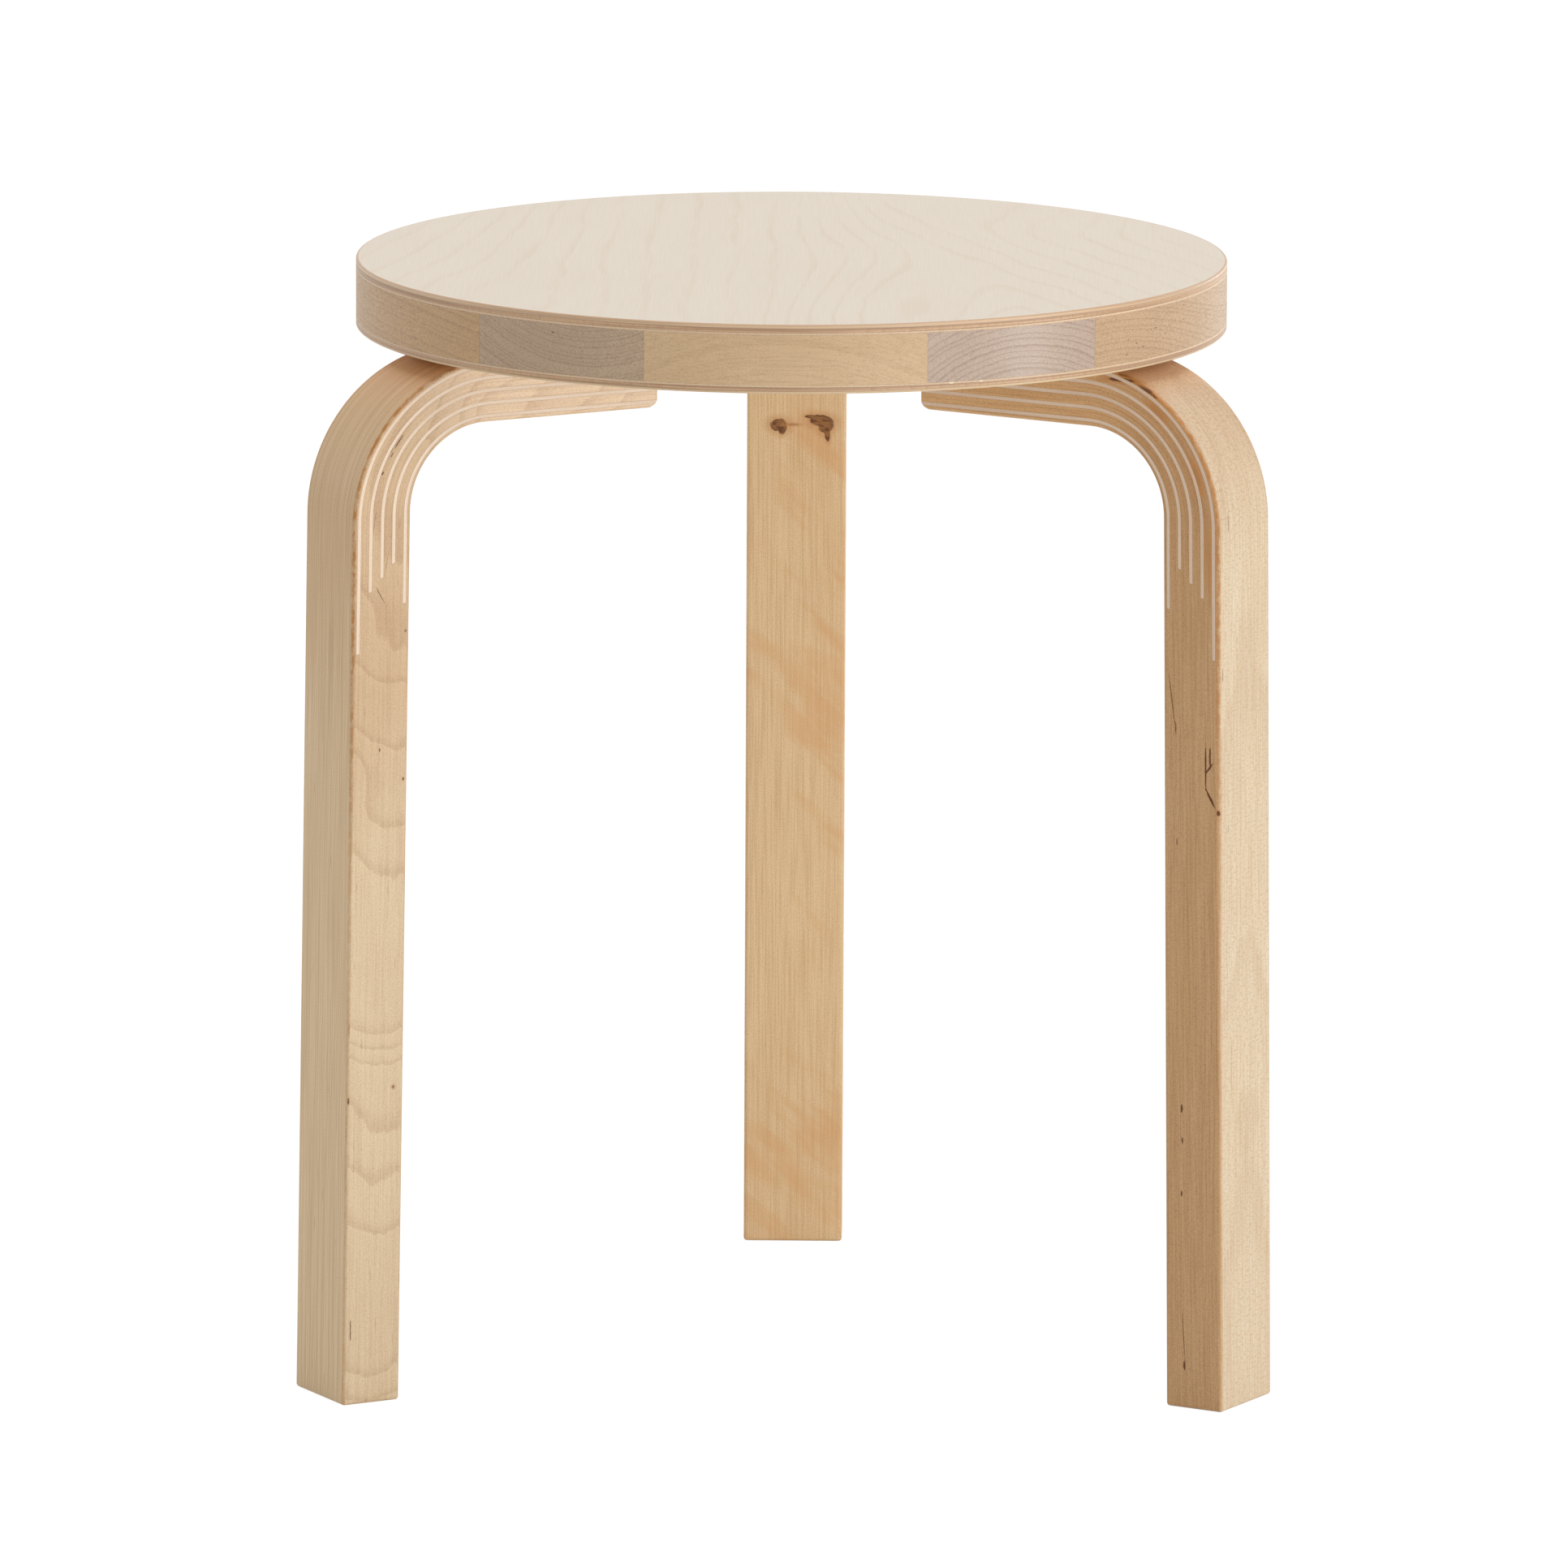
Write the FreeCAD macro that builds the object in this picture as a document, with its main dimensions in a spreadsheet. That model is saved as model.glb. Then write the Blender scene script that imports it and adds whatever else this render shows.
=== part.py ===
import FreeCAD, Part
import Sketcher
import math
import os

# A three-legged stacking stool, in millimetres.
# The origin is on the floor under the seat's centre, +Z up, and the rear leg points along +Y.
# Each leg is a solid birch blank whose upper end is sawn into thin lamellae, filled with veneer strips
# and bent over into an arm, which is screwed to the seat's underside from below.

Vec = FreeCAD.Vector
doc = FreeCAD.newDocument("stacking_stool")

# Driving dimensions: name, value and what it measures
SIZES = [
    ("stool_height", 440.0, "floor to the top of the seat"),
    ("seat_diameter", 345.0, "round seat"),
    ("seat_edge_round", 0.8, "rounding of the seat's upper and lower rim"),
    ("top_face_ply", 1.6, "upper face veneer"),
    ("top_cross_ply", 1.6, "cross veneer under the face"),
    ("top_inner_ply", 0.9, "inner veneer on the core"),
    ("core_thickness", 19.6, "solid blocks of the seat's core"),
    ("bottom_inner_ply", 0.8, "inner veneer under the core"),
    ("bottom_cross_ply", 1.5, "cross veneer under it"),
    ("bottom_face_ply", 1.0, "lower face veneer"),
    ("rail_length", 109.7, "front and rear rail, between the stiles"),
    ("rail_depth", 100.0, "front and rear rail, from the rim inwards"),
    ("stile_width", 64.7, "left and right stile"),
    ("leg_width", 40.5, "leg and arm, across"),
    ("leg_thickness", 25.2, "leg and arm, from outer to inner face"),
    ("leg_edge_round", 1.5, "rounding of the leg's edges"),
    ("leg_splay", 0.84, "outward lean of a leg, in degrees"),
    ("foot_reach", 38.9, "seat's rim out to the leg's outer face at the floor"),
    ("arm_reach", 140.4, "leg's outer face at the floor in to the end of its arm"),
    ("arm_end_round", 4.0, "rounding under the arm's end"),
    ("bend_outer_radius", 63.0, "outside of the bend"),
    ("bend_inner_radius", 33.5, "inside of the bend"),
    ("kerf_width", 1.4, "sawn slot, filled by a veneer strip"),
    ("face_lamella", 1.8, "lamella between the outermost strip and the leg's face"),
    ("strip_tail_1", 51.4, "straight end of strip 1 below the bend"),
    ("strip_tail_2", 27.8, "straight end of strip 2"),
    ("strip_tail_3", 23.2, "straight end of strip 3"),
    ("strip_tail_4", 18.6, "straight end of strip 4"),
    ("strip_tail_5", 35.4, "straight end of strip 5"),
    ("screw_diameter", 5.0, "wood screw's shank"),
    ("screw_head_diameter", 9.6, "countersunk head"),
    ("screw_point", 5.0, "tapered point"),
    ("screw_bite", 14.8, "length of screw in the seat"),
    ("screw_clearance", 0.4, "play around the shank in the arm"),
    ("pilot_spare", 1.0, "pilot hole beyond the screw's point"),
    ("recess_length", 5.0, "arm of the head's cross recess, tip to tip"),
    ("recess_width", 1.1, "width of the cross recess"),
    ("recess_depth", 1.5, "depth of the cross recess"),
    ("pair_inset", 14.0, "arm's end to the pair of screws"),
    ("pair_spacing", 20.0, "between the two screws of the pair"),
    ("single_inset", 55.0, "arm's end to the single screw"),
]

STRIP_COUNT = 5
LEGS = {"front_left": 210, "front_right": 330, "rear": 90}

# Sizes that follow from the driving ones
DERIVED = [
    ("seat_radius", "seat_diameter / 2"),
    ("foot_radius", "seat_radius + foot_reach"),
    ("arm_end_radius", "foot_radius - arm_reach"),
    ("top_cross_level", "stool_height - top_face_ply - top_cross_ply"),
    ("top_inner_level", "top_cross_level - top_inner_ply"),
    ("core_level", "top_inner_level - core_thickness"),
    ("bottom_inner_level", "core_level - bottom_inner_ply"),
    ("bottom_cross_level", "bottom_inner_level - bottom_cross_ply"),
    ("seat_underside", "bottom_cross_level - bottom_face_ply"),
    ("arm_underside", "seat_underside - leg_thickness"),
    ("strip_pitch", f"(leg_thickness - 2 * face_lamella - kerf_width) / {STRIP_COUNT - 1}"),
    ("stile_outer_x", "rail_length / 2 + stile_width"),
    ("screw_head_height", "(screw_head_diameter - screw_diameter) / 2"),
    ("screw_length", "leg_thickness + screw_bite"),
    ("arm_hole_diameter", "screw_diameter + 2 * screw_clearance"),
    ("pair_radius", "arm_end_radius + pair_inset"),
    ("single_radius", "arm_end_radius + single_inset"),
]

sheet = doc.addObject("Spreadsheet::Sheet", "sizes")
for row, (name, number, meaning) in enumerate(SIZES, start=1):
    sheet.set(f"A{row}", meaning)
    sheet.set(f"B{row}", str(number))
    sheet.setAlias(f"B{row}", name)
for row, (name, formula) in enumerate(DERIVED, start=len(SIZES) + 1):
    sheet.set(f"B{row}", "=" + formula)
    sheet.setAlias(f"B{row}", name)
doc.recompute()


def size(name):
    """A size's value, used to draw a sketch near its solution before its constraints bind it."""
    return float(getattr(sheet, name))


# Helpers for primitives, sketches and features
def bound(kind, name, **sizes):
    """A document object whose properties follow expressions over the sheet's sizes."""
    thing = doc.addObject(kind, name)
    for path, expression in sizes.items():
        thing.setExpression(path.replace("__", "."), expression)
    return thing


def combined(kind, name, base, tool):
    """A cut or common of two objects."""
    thing = doc.addObject(kind, name)
    thing.Base = base
    thing.Tool = tool
    return thing


def turned(thing, azimuth):
    """Turns an object about the seat's axis from +X to an azimuth, in degrees."""
    thing.Placement = FreeCAD.Placement(Vec(0, 0, 0), FreeCAD.Rotation(Vec(0, 0, 1), azimuth))
    return thing


def sketch_on(body, name, plane):
    """A sketch on one of the body's origin planes."""
    sketch = body.newObject("Sketcher::SketchObject", name)
    face = next(f for f in body.Origin.OriginFeatures if f.Role == plane)
    sketch.AttachmentSupport = [(face, "")]
    sketch.MapMode = "FlatFace"
    return sketch


def line(start, end):
    return Part.LineSegment(Vec(*start, 0), Vec(*end, 0))


def arc(centre, radius, first, last):
    """An arc from one angle to another, anticlockwise, in degrees."""
    circle = Part.Circle(Vec(*centre, 0), Vec(0, 0, 1), radius)
    return Part.ArcOfCircle(circle, math.radians(first), math.radians(last))


def driven(sketch, kind, geometry, expression):
    """A dimension of the sketch that follows an expression over the sheet."""
    index = sketch.addConstraint(Sketcher.Constraint(kind, *geometry))
    sketch.setExpression(f"Constraints[{index}]", expression)


def padded(body, name, sketch, length):
    """A pad with half its length on each side of the sketch."""
    pad = body.newObject("PartDesign::Pad", name)
    pad.Profile = sketch
    pad.SideType = "Symmetric"
    pad.setExpression("Length", length)
    doc.recompute()
    return pad


# Numbers of the points on a sketch's origin, line or arc
ORIGIN = (-1, 1)
START = 1
END = 2
CENTRE = 3
# An edge flatter than this lies in one plane
FLAT = 1e-6

# Outline of the bent leg, in the plane of the seat's axis: X outwards from the axis, Y up
splay = math.radians(size("leg_splay"))
face_way = (-math.sin(splay), math.cos(splay))
inward = (-math.cos(splay), -math.sin(splay))


def face_point(depth, height):
    """A point at a depth behind the leg's outer face, at a height."""
    foot = (size("foot_radius") + inward[0] * depth, inward[1] * depth)
    run = (height - foot[1]) / face_way[1]
    return (foot[0] + face_way[0] * run, height)


def bend_centre(depth, radius):
    """Centre of the bend whose arc meets the upright and the level line at this depth."""
    height = size("seat_underside") - depth - radius
    return face_point(depth + radius, height)


def lean_inwards(sketch, upright):
    """Leans an upward line of the sketch inwards by the leg's splay."""
    driven(sketch, "Angle", (upright, math.pi / 2 + splay), "90 deg + sizes.leg_splay * 1 deg")


# The blank: one leg with its arm, before the strips are let in
def draw_blank(sketch):
    under = size("seat_underside")
    below = size("arm_underside")
    thick = size("leg_thickness")
    outer = size("bend_outer_radius")
    inner = size("bend_inner_radius")
    corner = size("arm_end_round")
    end_x = size("arm_end_radius")
    outer_centre = bend_centre(0, outer)
    inner_centre = bend_centre(thick, inner)
    lean = size("leg_splay")
    outer_tangent = (outer_centre[0] + outer * math.cos(splay), outer_centre[1] + outer * math.sin(splay))
    inner_tangent = (inner_centre[0] + inner * math.cos(splay), inner_centre[1] + inner * math.sin(splay))
    corner_centre = (end_x + corner, below + corner)
    geometry = [
        line(face_point(0, 0), outer_tangent),
        arc(outer_centre, outer, lean, 90),
        line((outer_centre[0], under), (end_x, under)),
        line((end_x, under), (end_x, corner_centre[1])),
        arc(corner_centre, corner, 180, 270),
        line((corner_centre[0], below), (inner_centre[0], below)),
        arc(inner_centre, inner, lean, 90),
        line(inner_tangent, face_point(thick, 0)),
        line(face_point(thick, 0), face_point(0, 0)),
    ]
    outside, outer_bend, top, end, end_corner, under_arm, inner_bend, inside, foot = range(9)
    sketch.addGeometry(geometry, False)
    rules = [
        ("Tangent", outside, END, outer_bend, START),
        ("Tangent", outer_bend, END, top, START),
        ("Coincident", top, END, end, START),
        ("Tangent", end, END, end_corner, START),
        ("Tangent", end_corner, END, under_arm, START),
        ("Tangent", under_arm, END, inner_bend, END),
        ("Tangent", inner_bend, START, inside, START),
        ("Coincident", inside, END, foot, START),
        ("Coincident", foot, END, outside, START),
        ("Horizontal", top),
        ("Vertical", end),
        ("Horizontal", under_arm),
        ("Parallel", outside, inside),
        ("PointOnObject", outside, START, -1),
        ("PointOnObject", inside, END, -1),
    ]
    for rule in rules:
        sketch.addConstraint(Sketcher.Constraint(*rule))
    lean_inwards(sketch, outside)
    driven(sketch, "DistanceX", (*ORIGIN, outside, START, size("foot_radius")), "sizes.foot_radius")
    driven(sketch, "DistanceY", (*ORIGIN, top, END, under), "sizes.seat_underside")
    driven(sketch, "DistanceX", (*ORIGIN, top, END, end_x), "sizes.arm_end_radius")
    driven(sketch, "DistanceY", (under_arm, START, top, END, thick), "sizes.leg_thickness")
    driven(sketch, "Distance", (inside, END, outside, thick), "sizes.leg_thickness")
    driven(sketch, "Radius", (outer_bend, outer), "sizes.bend_outer_radius")
    driven(sketch, "Radius", (inner_bend, inner), "sizes.bend_inner_radius")
    driven(sketch, "Radius", (end_corner, corner), "sizes.arm_end_round")


def draw_screw_sites(sketch):
    """A pair of screws near the arm's end and a single one nearer the bend, seen from below."""
    half = size("pair_spacing") / 2
    pair = size("pair_radius")
    single = size("single_radius")
    hole = size("arm_hole_diameter")
    for across, out in ((half, pair), (-half, pair), (0, single)):
        circle = Part.Circle(Vec(out, across, 0), Vec(0, 0, 1), hole / 2)
        site = sketch.addGeometry(circle, False)
        driven(sketch, "Diameter", (site, hole), "sizes.arm_hole_diameter")
    upper, lower, alone = range(3)
    sketch.addConstraint(Sketcher.Constraint("Symmetric", upper, CENTRE, lower, CENTRE, -1))
    sketch.addConstraint(Sketcher.Constraint("PointOnObject", alone, CENTRE, -1))
    driven(sketch, "DistanceY", (lower, CENTRE, upper, CENTRE, 2 * half), "sizes.pair_spacing")
    driven(sketch, "DistanceX", (*ORIGIN, upper, CENTRE, pair), "sizes.pair_radius")
    driven(sketch, "DistanceX", (*ORIGIN, alone, CENTRE, single), "sizes.single_radius")


def rounded_edges(shape):
    """The edges around both side faces, and the two that cross the foot."""
    half = size("leg_width") / 2
    names = []
    for number, edge in enumerate(shape.Edges, start=1):
        box = edge.BoundBox
        on_side = box.YLength < FLAT and abs(abs(box.YMin) - half) < FLAT
        on_floor = box.ZMax < FLAT
        if on_side or on_floor:
            names.append(f"Edge{number}")
    return names


blank = doc.addObject("PartDesign::Body", "leg_blank")
outline = sketch_on(blank, "leg_outline", "XZ_Plane")
draw_blank(outline)
doc.recompute()
slab = padded(blank, "leg_slab", outline, "sizes.leg_width")
rounding = blank.newObject("PartDesign::Fillet", "leg_edges")
rounding.Base = (slab, rounded_edges(slab.Shape))
rounding.setExpression("Radius", "sizes.leg_edge_round")
doc.recompute()
sites = sketch_on(blank, "screw_sites", "XY_Plane")
sites.setExpression("AttachmentOffset.Base.z", "sizes.arm_underside")
draw_screw_sites(sites)
doc.recompute()
solid_volume = rounding.Shape.Volume
holes = blank.newObject("PartDesign::Hole", "screw_holes")
holes.Profile = sites
holes.Reversed = True
holes.DepthType = "ThroughAll"
holes.HoleCutType = "Countersink"
holes.HoleCutCustomValues = True
holes.setExpression("Diameter", "sizes.arm_hole_diameter")
holes.setExpression("HoleCutDiameter", "sizes.screw_head_diameter")
holes.HoleCutCountersinkAngle = 90
doc.recompute()
print("screw holes take", round(solid_volume - holes.Shape.Volume, 1), "mm3 out of the arm")


# The veneer strips: each fills one sawn kerf, from the arm's end round the bend into the leg
def draw_strip(sketch, number):
    kerf = size("kerf_width")
    near = size("face_lamella") + (number - 1) * size("strip_pitch")
    far = near + kerf
    share = (near + kerf / 2) / size("leg_thickness")
    spread = size("bend_inner_radius") - size("bend_outer_radius")
    middle = size("bend_outer_radius") + share * spread
    outer = middle + kerf / 2
    inner = middle - kerf / 2
    centre = bend_centre(near, outer)
    lean = size("leg_splay")
    end_x = size("arm_end_radius") - kerf
    top_y = size("seat_underside") - near
    out_bend = (centre[0] + outer * math.cos(splay), centre[1] + outer * math.sin(splay))
    in_bend = (centre[0] + inner * math.cos(splay), centre[1] + inner * math.sin(splay))
    tail = size(f"strip_tail_{number}")
    out_tail = (out_bend[0] - face_way[0] * tail, out_bend[1] - face_way[1] * tail)
    in_tail = (in_bend[0] - face_way[0] * tail, in_bend[1] - face_way[1] * tail)
    sketch.addGeometry([
        line(out_tail, out_bend),
        arc(centre, outer, lean, 90),
        line((centre[0], top_y), (end_x, top_y)),
        line((end_x, top_y), (end_x, top_y - kerf)),
        line((end_x, top_y - kerf), (centre[0], top_y - kerf)),
        arc(centre, inner, lean, 90),
        line(in_bend, in_tail),
        line(in_tail, out_tail),
    ], False)
    sketch.addGeometry([line(face_point(0, 0), face_point(0, tail))], True)
    outside, outer_bend, top, end, under, inner_bend, inside, tail_end, face = range(9)
    rules = [
        ("Tangent", outside, END, outer_bend, START),
        ("Tangent", outer_bend, END, top, START),
        ("Coincident", top, END, end, START),
        ("Coincident", end, END, under, START),
        ("Tangent", under, END, inner_bend, END),
        ("Tangent", inner_bend, START, inside, START),
        ("Coincident", inside, END, tail_end, START),
        ("Coincident", tail_end, END, outside, START),
        ("Horizontal", top),
        ("Vertical", end),
        ("Coincident", outer_bend, CENTRE, inner_bend, CENTRE),
        ("Perpendicular", tail_end, outside),
        ("Parallel", outside, face),
        ("PointOnObject", face, START, -1),
    ]
    for rule in rules:
        sketch.addConstraint(Sketcher.Constraint(*rule))
    near_text = f"(sizes.face_lamella + {number - 1} * sizes.strip_pitch)"
    share_text = f"({near_text} + sizes.kerf_width / 2) / sizes.leg_thickness"
    spread_text = "(sizes.bend_inner_radius - sizes.bend_outer_radius)"
    middle_text = f"sizes.bend_outer_radius + {share_text} * {spread_text}"
    lean_inwards(sketch, face)
    driven(sketch, "DistanceX", (*ORIGIN, face, START, size("foot_radius")), "sizes.foot_radius")
    driven(sketch, "DistanceY", (face, START, face, END, tail), f"sizes.strip_tail_{number}")
    driven(sketch, "Distance", (outside, START, face, near), near_text)
    driven(sketch, "Distance", (outside, tail), f"sizes.strip_tail_{number}")
    driven(sketch, "DistanceY", (*ORIGIN, top, END, top_y), f"sizes.seat_underside - {near_text}")
    driven(sketch, "DistanceX", (*ORIGIN, top, END, end_x), "sizes.arm_end_radius - sizes.kerf_width")
    driven(sketch, "Radius", (outer_bend, outer), f"{middle_text} + sizes.kerf_width / 2")
    driven(sketch, "Radius", (inner_bend, inner), f"{middle_text} - sizes.kerf_width / 2")


kerfs = []
for number in range(1, STRIP_COUNT + 1):
    body = doc.addObject("PartDesign::Body", f"kerf_{number}")
    path = sketch_on(body, f"kerf_outline_{number}", "XZ_Plane")
    draw_strip(path, number)
    doc.recompute()
    padded(body, f"kerf_slab_{number}", path, "sizes.leg_width + 2 * sizes.kerf_width")
    kerfs.append(body)
kerf_comb = doc.addObject("Part::MultiFuse", "kerf_comb")
kerf_comb.Shapes = kerfs
doc.recompute()

nodes = []
for side, azimuth in LEGS.items():
    leg = combined("Part::Cut", f"{side}_leg", blank, kerf_comb)
    nodes.append(turned(leg, azimuth))
    for number, kerf_body in enumerate(kerfs, start=1):
        strip = combined("Part::Common", f"{side}_leg_veneer_{number}", blank, kerf_body)
        nodes.append(turned(strip, azimuth))

# Three countersunk wood screws hold each arm, driven from below into the seat
SITES = {
    "pair_a": ("sizes.pair_radius", "sizes.pair_spacing / 2"),
    "pair_b": ("sizes.pair_radius", "-sizes.pair_spacing / 2"),
    "single": ("sizes.single_radius", "0"),
}


def make_screw(site, out, across):
    """A screw at its site under the arm of a leg that points along +X."""
    place = {"Placement__Base__x": out, "Placement__Base__y": across}
    head = bound("Part::Cone", f"head_{site}", Radius1="sizes.screw_head_diameter / 2",
                 Radius2="sizes.screw_diameter / 2", Height="sizes.screw_head_height",
                 Placement__Base__z="sizes.arm_underside", **place)
    shank = bound("Part::Cylinder", f"shank_{site}", Radius="sizes.screw_diameter / 2",
                  Height="sizes.screw_length - sizes.screw_point",
                  Placement__Base__z="sizes.arm_underside", **place)
    point = bound("Part::Cone", f"point_{site}", Radius1="sizes.screw_diameter / 2",
                  Height="sizes.screw_point",
                  Placement__Base__z="sizes.seat_underside + sizes.screw_bite - sizes.screw_point", **place)
    point.Radius2 = 0
    metal = doc.addObject("Part::MultiFuse", f"metal_{site}")
    metal.Shapes = [head, shank, point]
    slots = []
    long_way = ("recess_length", "recess_width")
    for way, (length, width) in {"along": long_way, "across": long_way[::-1]}.items():
        slot = bound("Part::Box", f"slot_{way}_{site}", Length=f"sizes.{length}", Width=f"sizes.{width}",
                     Height="sizes.recess_depth", Placement__Base__x=f"{out} - sizes.{length} / 2",
                     Placement__Base__y=f"{across} - sizes.{width} / 2",
                     Placement__Base__z="sizes.arm_underside")
        slots.append(slot)
    recess = doc.addObject("Part::MultiFuse", f"recess_{site}")
    recess.Shapes = slots
    return combined("Part::Cut", f"screw_{site}", metal, recess)


def make_pilot(site, out, across):
    """The hole that the screw cuts for itself in the seat."""
    return bound("Part::Cylinder", f"pilot_{site}", Radius="sizes.screw_diameter / 2",
                 Height="sizes.screw_bite + sizes.pilot_spare", Placement__Base__x=out,
                 Placement__Base__y=across, Placement__Base__z="sizes.seat_underside")


screws = [make_screw(site, *place) for site, place in SITES.items()]
pilots = [make_pilot(site, *place) for site, place in SITES.items()]
pilot_groups = []
for side, azimuth in LEGS.items():
    group = doc.addObject("Part::Compound", f"{side}_leg_screws")
    group.Links = screws
    nodes.append(turned(group, azimuth))
    holes_under = doc.addObject("Part::Compound", f"{side}_pilots")
    holes_under.Links = pilots
    pilot_groups.append(turned(holes_under, azimuth))
pilot_holes = doc.addObject("Part::MultiFuse", "pilot_holes")
pilot_holes.Shapes = pilot_groups
doc.recompute()


# The seat's veneers, each a disc with its level and thickness
def make_ply(name, level, thickness, rim=None):
    """A disc of veneer; rim says which of its edges is rounded, the upper or the lower."""
    body = doc.addObject("PartDesign::Body", f"{name}_disc")
    sketch = sketch_on(body, f"{name}_circle", "XY_Plane")
    sketch.addGeometry(Part.Circle(Vec(0, 0, 0), Vec(0, 0, 1), size("seat_radius")), False)
    sketch.addConstraint(Sketcher.Constraint("Coincident", 0, CENTRE, *ORIGIN))
    driven(sketch, "Radius", (0, size("seat_radius")), "sizes.seat_radius")
    pad = body.newObject("PartDesign::Pad", f"{name}_pad")
    pad.Profile = sketch
    pad.setExpression("Length", f"sizes.{thickness}")
    doc.recompute()
    if rim:
        rim_level = pad.Shape.BoundBox.ZMax if rim == "upper" else pad.Shape.BoundBox.ZMin
        edges = [f"Edge{n}" for n, edge in enumerate(pad.Shape.Edges, start=1)
                 if edge.BoundBox.ZLength < FLAT and abs(edge.BoundBox.ZMin - rim_level) < FLAT]
        soft = body.newObject("PartDesign::Fillet", f"{name}_rim")
        soft.Base = (pad, edges)
        soft.setExpression("Radius", f"min(sizes.seat_edge_round; 0.9 * sizes.{thickness})")
    body.setExpression("Placement.Base.z", level)
    return combined("Part::Cut", name, body, pilot_holes)


nodes.append(make_ply("top_face_veneer", "sizes.stool_height - sizes.top_face_ply", "top_face_ply", "upper"))
nodes.append(make_ply("top_cross_veneer", "sizes.top_cross_level", "top_cross_ply"))
nodes.append(make_ply("top_inner_veneer", "sizes.top_inner_level", "top_inner_ply"))
nodes.append(make_ply("bottom_inner_veneer", "sizes.bottom_inner_level", "bottom_inner_ply"))
nodes.append(make_ply("bottom_cross_veneer", "sizes.bottom_cross_level", "bottom_cross_ply"))
nodes.append(make_ply("bottom_face_veneer", "sizes.seat_underside", "bottom_face_ply", "lower"))

# The core between the veneers: glued blocks with straight joints, each given by its box, trimmed to the disc
HALF_RAIL = "sizes.rail_length / 2"
RAIL_INSIDE = "(sizes.seat_radius - sizes.rail_depth)"
BLOCKS = {
    "core_front_rail": (f"-{HALF_RAIL}", "-sizes.seat_radius", "sizes.rail_length", "sizes.rail_depth"),
    "core_rear_rail": (f"-{HALF_RAIL}", RAIL_INSIDE, "sizes.rail_length", "sizes.rail_depth"),
    "core_centre_panel": (f"-{HALF_RAIL}", f"-{RAIL_INSIDE}", "sizes.rail_length", f"2 * {RAIL_INSIDE}"),
    "core_left_stile": ("-sizes.stile_outer_x", "-sizes.seat_radius", "sizes.stile_width", "sizes.seat_diameter"),
    "core_right_stile": (HALF_RAIL, "-sizes.seat_radius", "sizes.stile_width", "sizes.seat_diameter"),
    "core_left_side_block": ("-sizes.seat_radius", "-sizes.seat_radius",
                             "sizes.seat_radius - sizes.stile_outer_x", "sizes.seat_diameter"),
    "core_right_side_block": ("sizes.stile_outer_x", "-sizes.seat_radius",
                              "sizes.seat_radius - sizes.stile_outer_x", "sizes.seat_diameter"),
}
for name, (left, front, length, width) in BLOCKS.items():
    board = bound("Part::Box", f"{name}_board", Placement__Base__x=left, Placement__Base__y=front,
                  Placement__Base__z="sizes.core_level", Length=length, Width=width,
                  Height="sizes.core_thickness")
    disc = bound("Part::Cylinder", f"{name}_disc", Radius="sizes.seat_radius",
                 Height="sizes.core_thickness", Placement__Base__z="sizes.core_level")
    trimmed = combined("Part::Common", f"{name}_trimmed", board, disc)
    nodes.append(combined("Part::Cut", name, trimmed, pilot_holes))
doc.recompute()

# Nothing is written unless every object is sound
for thing in doc.Objects:
    if {"Invalid", "Error"} & set(thing.State):
        raise RuntimeError(f"{thing.Name} could not be built: {thing.State}")
for node in nodes:
    if node.Shape.isNull() or not node.Shape.isValid():
        raise RuntimeError(f"{node.Label} has no valid shape")

os.makedirs("parts", exist_ok=True)
for node in nodes:
    node.Shape.exportStep(os.path.join("parts", node.Label + ".step"))
    print(node.Label, "solids", len(node.Shape.Solids), "volume", round(node.Shape.Volume / 1000, 2), "cm3")
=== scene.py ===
import math
import bmesh
import bpy
from mathutils import Matrix, Vector


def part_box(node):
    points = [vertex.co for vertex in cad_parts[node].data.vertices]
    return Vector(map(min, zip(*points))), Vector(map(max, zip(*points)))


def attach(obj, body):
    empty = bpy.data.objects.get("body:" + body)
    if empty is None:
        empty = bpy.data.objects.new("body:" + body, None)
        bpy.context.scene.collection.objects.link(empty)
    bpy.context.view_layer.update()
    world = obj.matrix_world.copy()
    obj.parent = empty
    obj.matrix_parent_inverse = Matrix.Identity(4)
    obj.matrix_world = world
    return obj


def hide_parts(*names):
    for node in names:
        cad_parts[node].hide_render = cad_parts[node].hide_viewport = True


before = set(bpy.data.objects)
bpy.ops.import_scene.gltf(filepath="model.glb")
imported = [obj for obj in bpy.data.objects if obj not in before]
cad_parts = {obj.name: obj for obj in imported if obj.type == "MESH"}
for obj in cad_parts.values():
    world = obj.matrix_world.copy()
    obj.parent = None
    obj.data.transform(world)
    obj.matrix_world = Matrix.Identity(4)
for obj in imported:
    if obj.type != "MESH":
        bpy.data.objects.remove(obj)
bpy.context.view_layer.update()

MM = 0.001

# The camera stands about six metres off, a little above the seat, and looks down on the stool through
# a long lens. The stool is turned by less than a degree, so the view comes from just right of its middle.
PHOTO_SIDE = 1932
FOCAL_PIXELS = 19480.9
SENSOR_WIDTH = 36.0
STANDOFF = 6.19103
LENS_HEIGHT = 1.40002
SIDESTEP = -0.00201
PITCH = 0.1872
ROLL = 0.0049
STOOL_TURN = 0.0133


def stand(name, data):
    """Adds an object to the scene."""
    thing = bpy.data.objects.new(name, data)
    bpy.context.scene.collection.objects.link(thing)
    return thing


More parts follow.
